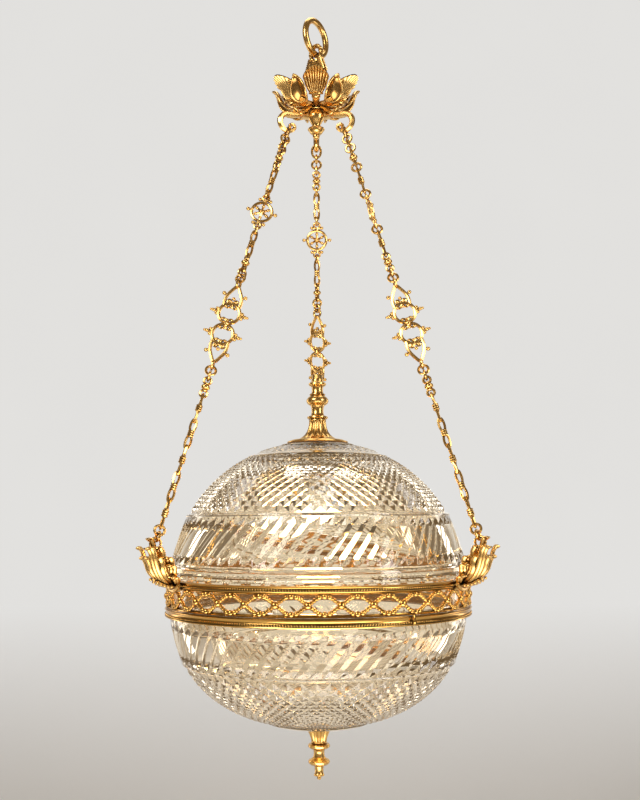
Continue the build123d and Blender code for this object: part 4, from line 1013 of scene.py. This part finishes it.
def finial():
    end = bowl_pole + 0.3 - 23
    turned("finial_cup_fluted", "finial_cup", "lower_bowl", raised(end, [
        (4.8, 0), (8.6, 0.2), (9.3, 1.4), (8.8, 2.4), (9.2, 3.2), (9.9, 6.5), (11.6, 11), (13.8, 15), (15.8, 18.4),
        (17, 20.8), (17.4, 22.2), (16.8, 23), (4.8, 23), (4.8, 0)]), 240,
        flute=fluted(end + 2.6, end + 21.6, 0.13), close=False)
    turned("finial_drop_turned", "finial_drop", "lower_bowl", raised(end, [
        (0.5, -41), (1.7, -40.7), (2.6, -39.4), (2.2, -38), (1.9, -37.4), (4.4, -37), (6, -36.2), (6.3, -35.2),
        (5.4, -34.2), (5, -32.6), (5.1, -28), (5.6, -25.6), (7, -24.4), (10.4, -23.6), (12.4, -21.8),
        (12.7, -19.8), (11.6, -18.2), (9.2, -17.2), (8.2, -16.4), (6.7, -15), (6.2, -11), (6.6, -7.6), (7.8, -6.2),
        (10.6, -5.4), (12.6, -3.8), (12.9, -2), (11.8, -0.6), (8, 0)]), 64)


def lamp():
    form = Form()
    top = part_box("bulb")[1][2] / MM
    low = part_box("bulb")[0][2] / MM
    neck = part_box("lampholder")[0][2] / MM
    pear = raised(low, [(1, 0), (8, 0.8), (16, 4), (23.4, 9.6), (28.2, 17.4), (30, 27), (29.2, 36), (26, 46),
                        (21, 55), (16, 63)])
    form.lathe([*pear, (13.4, neck - 3), (12.8, neck), (12.8, top), (1, top)], 64)
    show("lamp_bulb", form, LAMP, "globe", ["bulb"])

    form = Form()
    low, top = neck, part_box("lampholder")[1][2] / MM
    foot = raised(low, [(13.3, 0), (18.6, 0), (20, 1), (20, 3)])
    ribs = [(r, low + h + 3 * k) for k in range(9) for r, h in ((19.4, 4), (20, 4.6), (20, 6), (19.4, 6.6))]
    cap = raised(top, [(19.6, -13), (17.6, -8), (13.6, -4), (11, 0), (6.6, 0), (6.6, -14), (13.3, -18)])
    form.lathe([*foot, *ribs, *cap, (13.3, low)], 64, close=False)
    show("lampholder_ribbed", form, HOLDER, "globe", ["lampholder"])


def clasp():
    form = Form()
    az = 303
    path = flow([*along(az, lower_low, [(181.6, 0.6), (182.3, 3), (182.6, 8)]), at(az, 182.4, ring_top),
                 at(az, 181.6, base_low + 1.2)], 20)
    form.lobe(path, lambda v: 1.7 * sqrt(max(0.05, 1 - (2 * v - 1) ** 6)), at(az + 90, 1, 0), 1, 0.4, across=10)
    form.ball(at(az, 183.2, lower_low + 3.4), 1.7, at(az, 1, 0), 0.8)
    show("clasp_tongue", form, BAND_GILT, "lower_bowl", ["clasp"])


for build in (hanging_ring, stirrup, corona_baluster, corona_arms, shell_palmettes, pointed_leaves, chain_hooks,
              chains, band_moulding, band_lattice, band_base, lower_ring, leaf_brackets, upper_glass, lower_glass,
              stem, finial, lamp, clasp):
    build()

# Pieces shown as their solids
for node, material in (("stem_washer", WASHER), ("stem_tube", GILT), ("stem_locknut", STEEL),
                       ("finial_rod", STEEL), ("finial_nut", STEEL), ("hinge_ears", BAND_GILT),
                       ("hinge_knuckle", BAND_GILT), ("hinge_pin", STEEL)):
    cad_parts[node].data.materials.clear()
    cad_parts[node].data.materials.append(material)


# Studio, in metres
def backdrop():
    """Pale sweep: floor below, wall behind, the wall's middle as bright to the eye as it is painted."""
    floor, front, wall, wall_top, bend, half = -1.5, -2.4, 1.9, 1.9, 0.6, 3.0
    lit, dim = 1.15, 1.65
    curve = [pi / 2 * k / 16 for k in range(1, 17)]
    profile = [(front, floor), (wall - bend, floor)]
    profile += [(wall - bend + bend * sin(t), floor + bend - bend * cos(t)) for t in curve]
    profile += [(wall, wall_top)]
    mesh = bpy.data.meshes.new("sweep")
    mesh.from_pydata([(x, y, z) for y, z in profile for x in (-half, half)], [],
                     [(2 * k, 2 * k + 1, 2 * k + 3, 2 * k + 2) for k in range(len(profile) - 1)])
    mesh.polygons.foreach_set("use_smooth", [True] * len(mesh.polygons))
    sweep = add("sweep", mesh)
    material, shader, place = finish_of("pale_paper")
    paper = noise(place, 3.0).blend((0.79, 0.78, 0.76, 1), (0.81, 0.8, 0.78, 1))
    place.feed(shader, Base_Color=paper, Roughness=0.9)
    rays = place.node("ShaderNodeLightPath")
    seen = [place.out(rays, name) for name in ("Is Camera Ray", "Is Glossy Ray", "Is Transmission Ray")]
    spot = place.node("ShaderNodeSeparateXYZ", Vector=place)
    across = place.out(spot, 0)
    height = ((place.out(spot, 2) - floor) * (1 / bend)).clamp()
    middle = ((dim * dim - across * across) * (1 / (dim * dim - lit * lit))).clamp()
    glow = place.node("ShaderNodeEmission", Color=paper, Strength=0.95)
    mix_in(place, shader, glow, (seen[0] + seen[1] + seen[2]).clamp() * height * middle)
    mesh.materials.append(material)


def lamp_light(name, place, aim, size, power, colour=(1, 1, 1)):
    light = bpy.data.lights.new(name, "AREA")
    light.shape = "RECTANGLE"
    light.size, light.size_y = size
    light.energy = power
    light.color = colour
    holder = add(name, light)
    holder.location = place
    holder.visible_camera = False
    holder.rotation_euler = (Vector(aim) - Vector(place)).to_track_quat("-Z", "Y").to_euler()


backdrop()
lamp_light("key_softbox", (-1.3, -1.5, 0.5), (0, 0, -0.5), (0.7, 1.3), 26, (1, 0.97, 0.93))
lamp_light("fill_softbox", (1.6, -1.2, -0.1), (0, 0, -0.55), (0.5, 1.5), 16)
lamp_light("left_strip", (-1.1, 0.75, -0.7), (0, 0, -0.7), (0.22, 1.4), 2.6, (1, 0.93, 0.84))
lamp_light("right_strip", (1.1, 0.75, -0.7), (0, 0, -0.7), (0.22, 1.4), 2.6, (1, 0.93, 0.84))
lamp_light("low_softbox", (0.1, -0.95, -1.4), (0.1, -0.9, 0), (1.2, 0.8), 17, (1, 0.95, 0.88))
lamp_light("top_softbox", (0.1, 0.4, 1.3), (0, 0, -0.4), (1.4, 1.0), 10)

world = bpy.data.worlds.new("studio")
world.use_nodes = True
Wire(world.node_tree, None).feed(world.node_tree.nodes["Background"], Color=(1.0, 0.78, 0.54, 1), Strength=0.16)
bpy.context.scene.world = world

# The photograph's camera: its focal length in pixels of the frame's 800, its tilt and its roll
FOCAL_PIXELS, FRAME_PIXELS, SENSOR_MM = 938, 800, 36
TILT_UP, ROLL = 7.52, 0.28
camera = bpy.data.cameras.new("photo_camera")
camera.lens = FOCAL_PIXELS / FRAME_PIXELS * SENSOR_MM
camera.sensor_width = SENSOR_MM
viewer = add("photo_camera", camera)
viewer.location = (0.0024, -1.141, -0.6405)
viewer.rotation_euler = (radians(90 + TILT_UP), radians(ROLL), 0)
bpy.context.scene.camera = viewer
bpy.context.scene.view_settings.view_transform = "Standard"
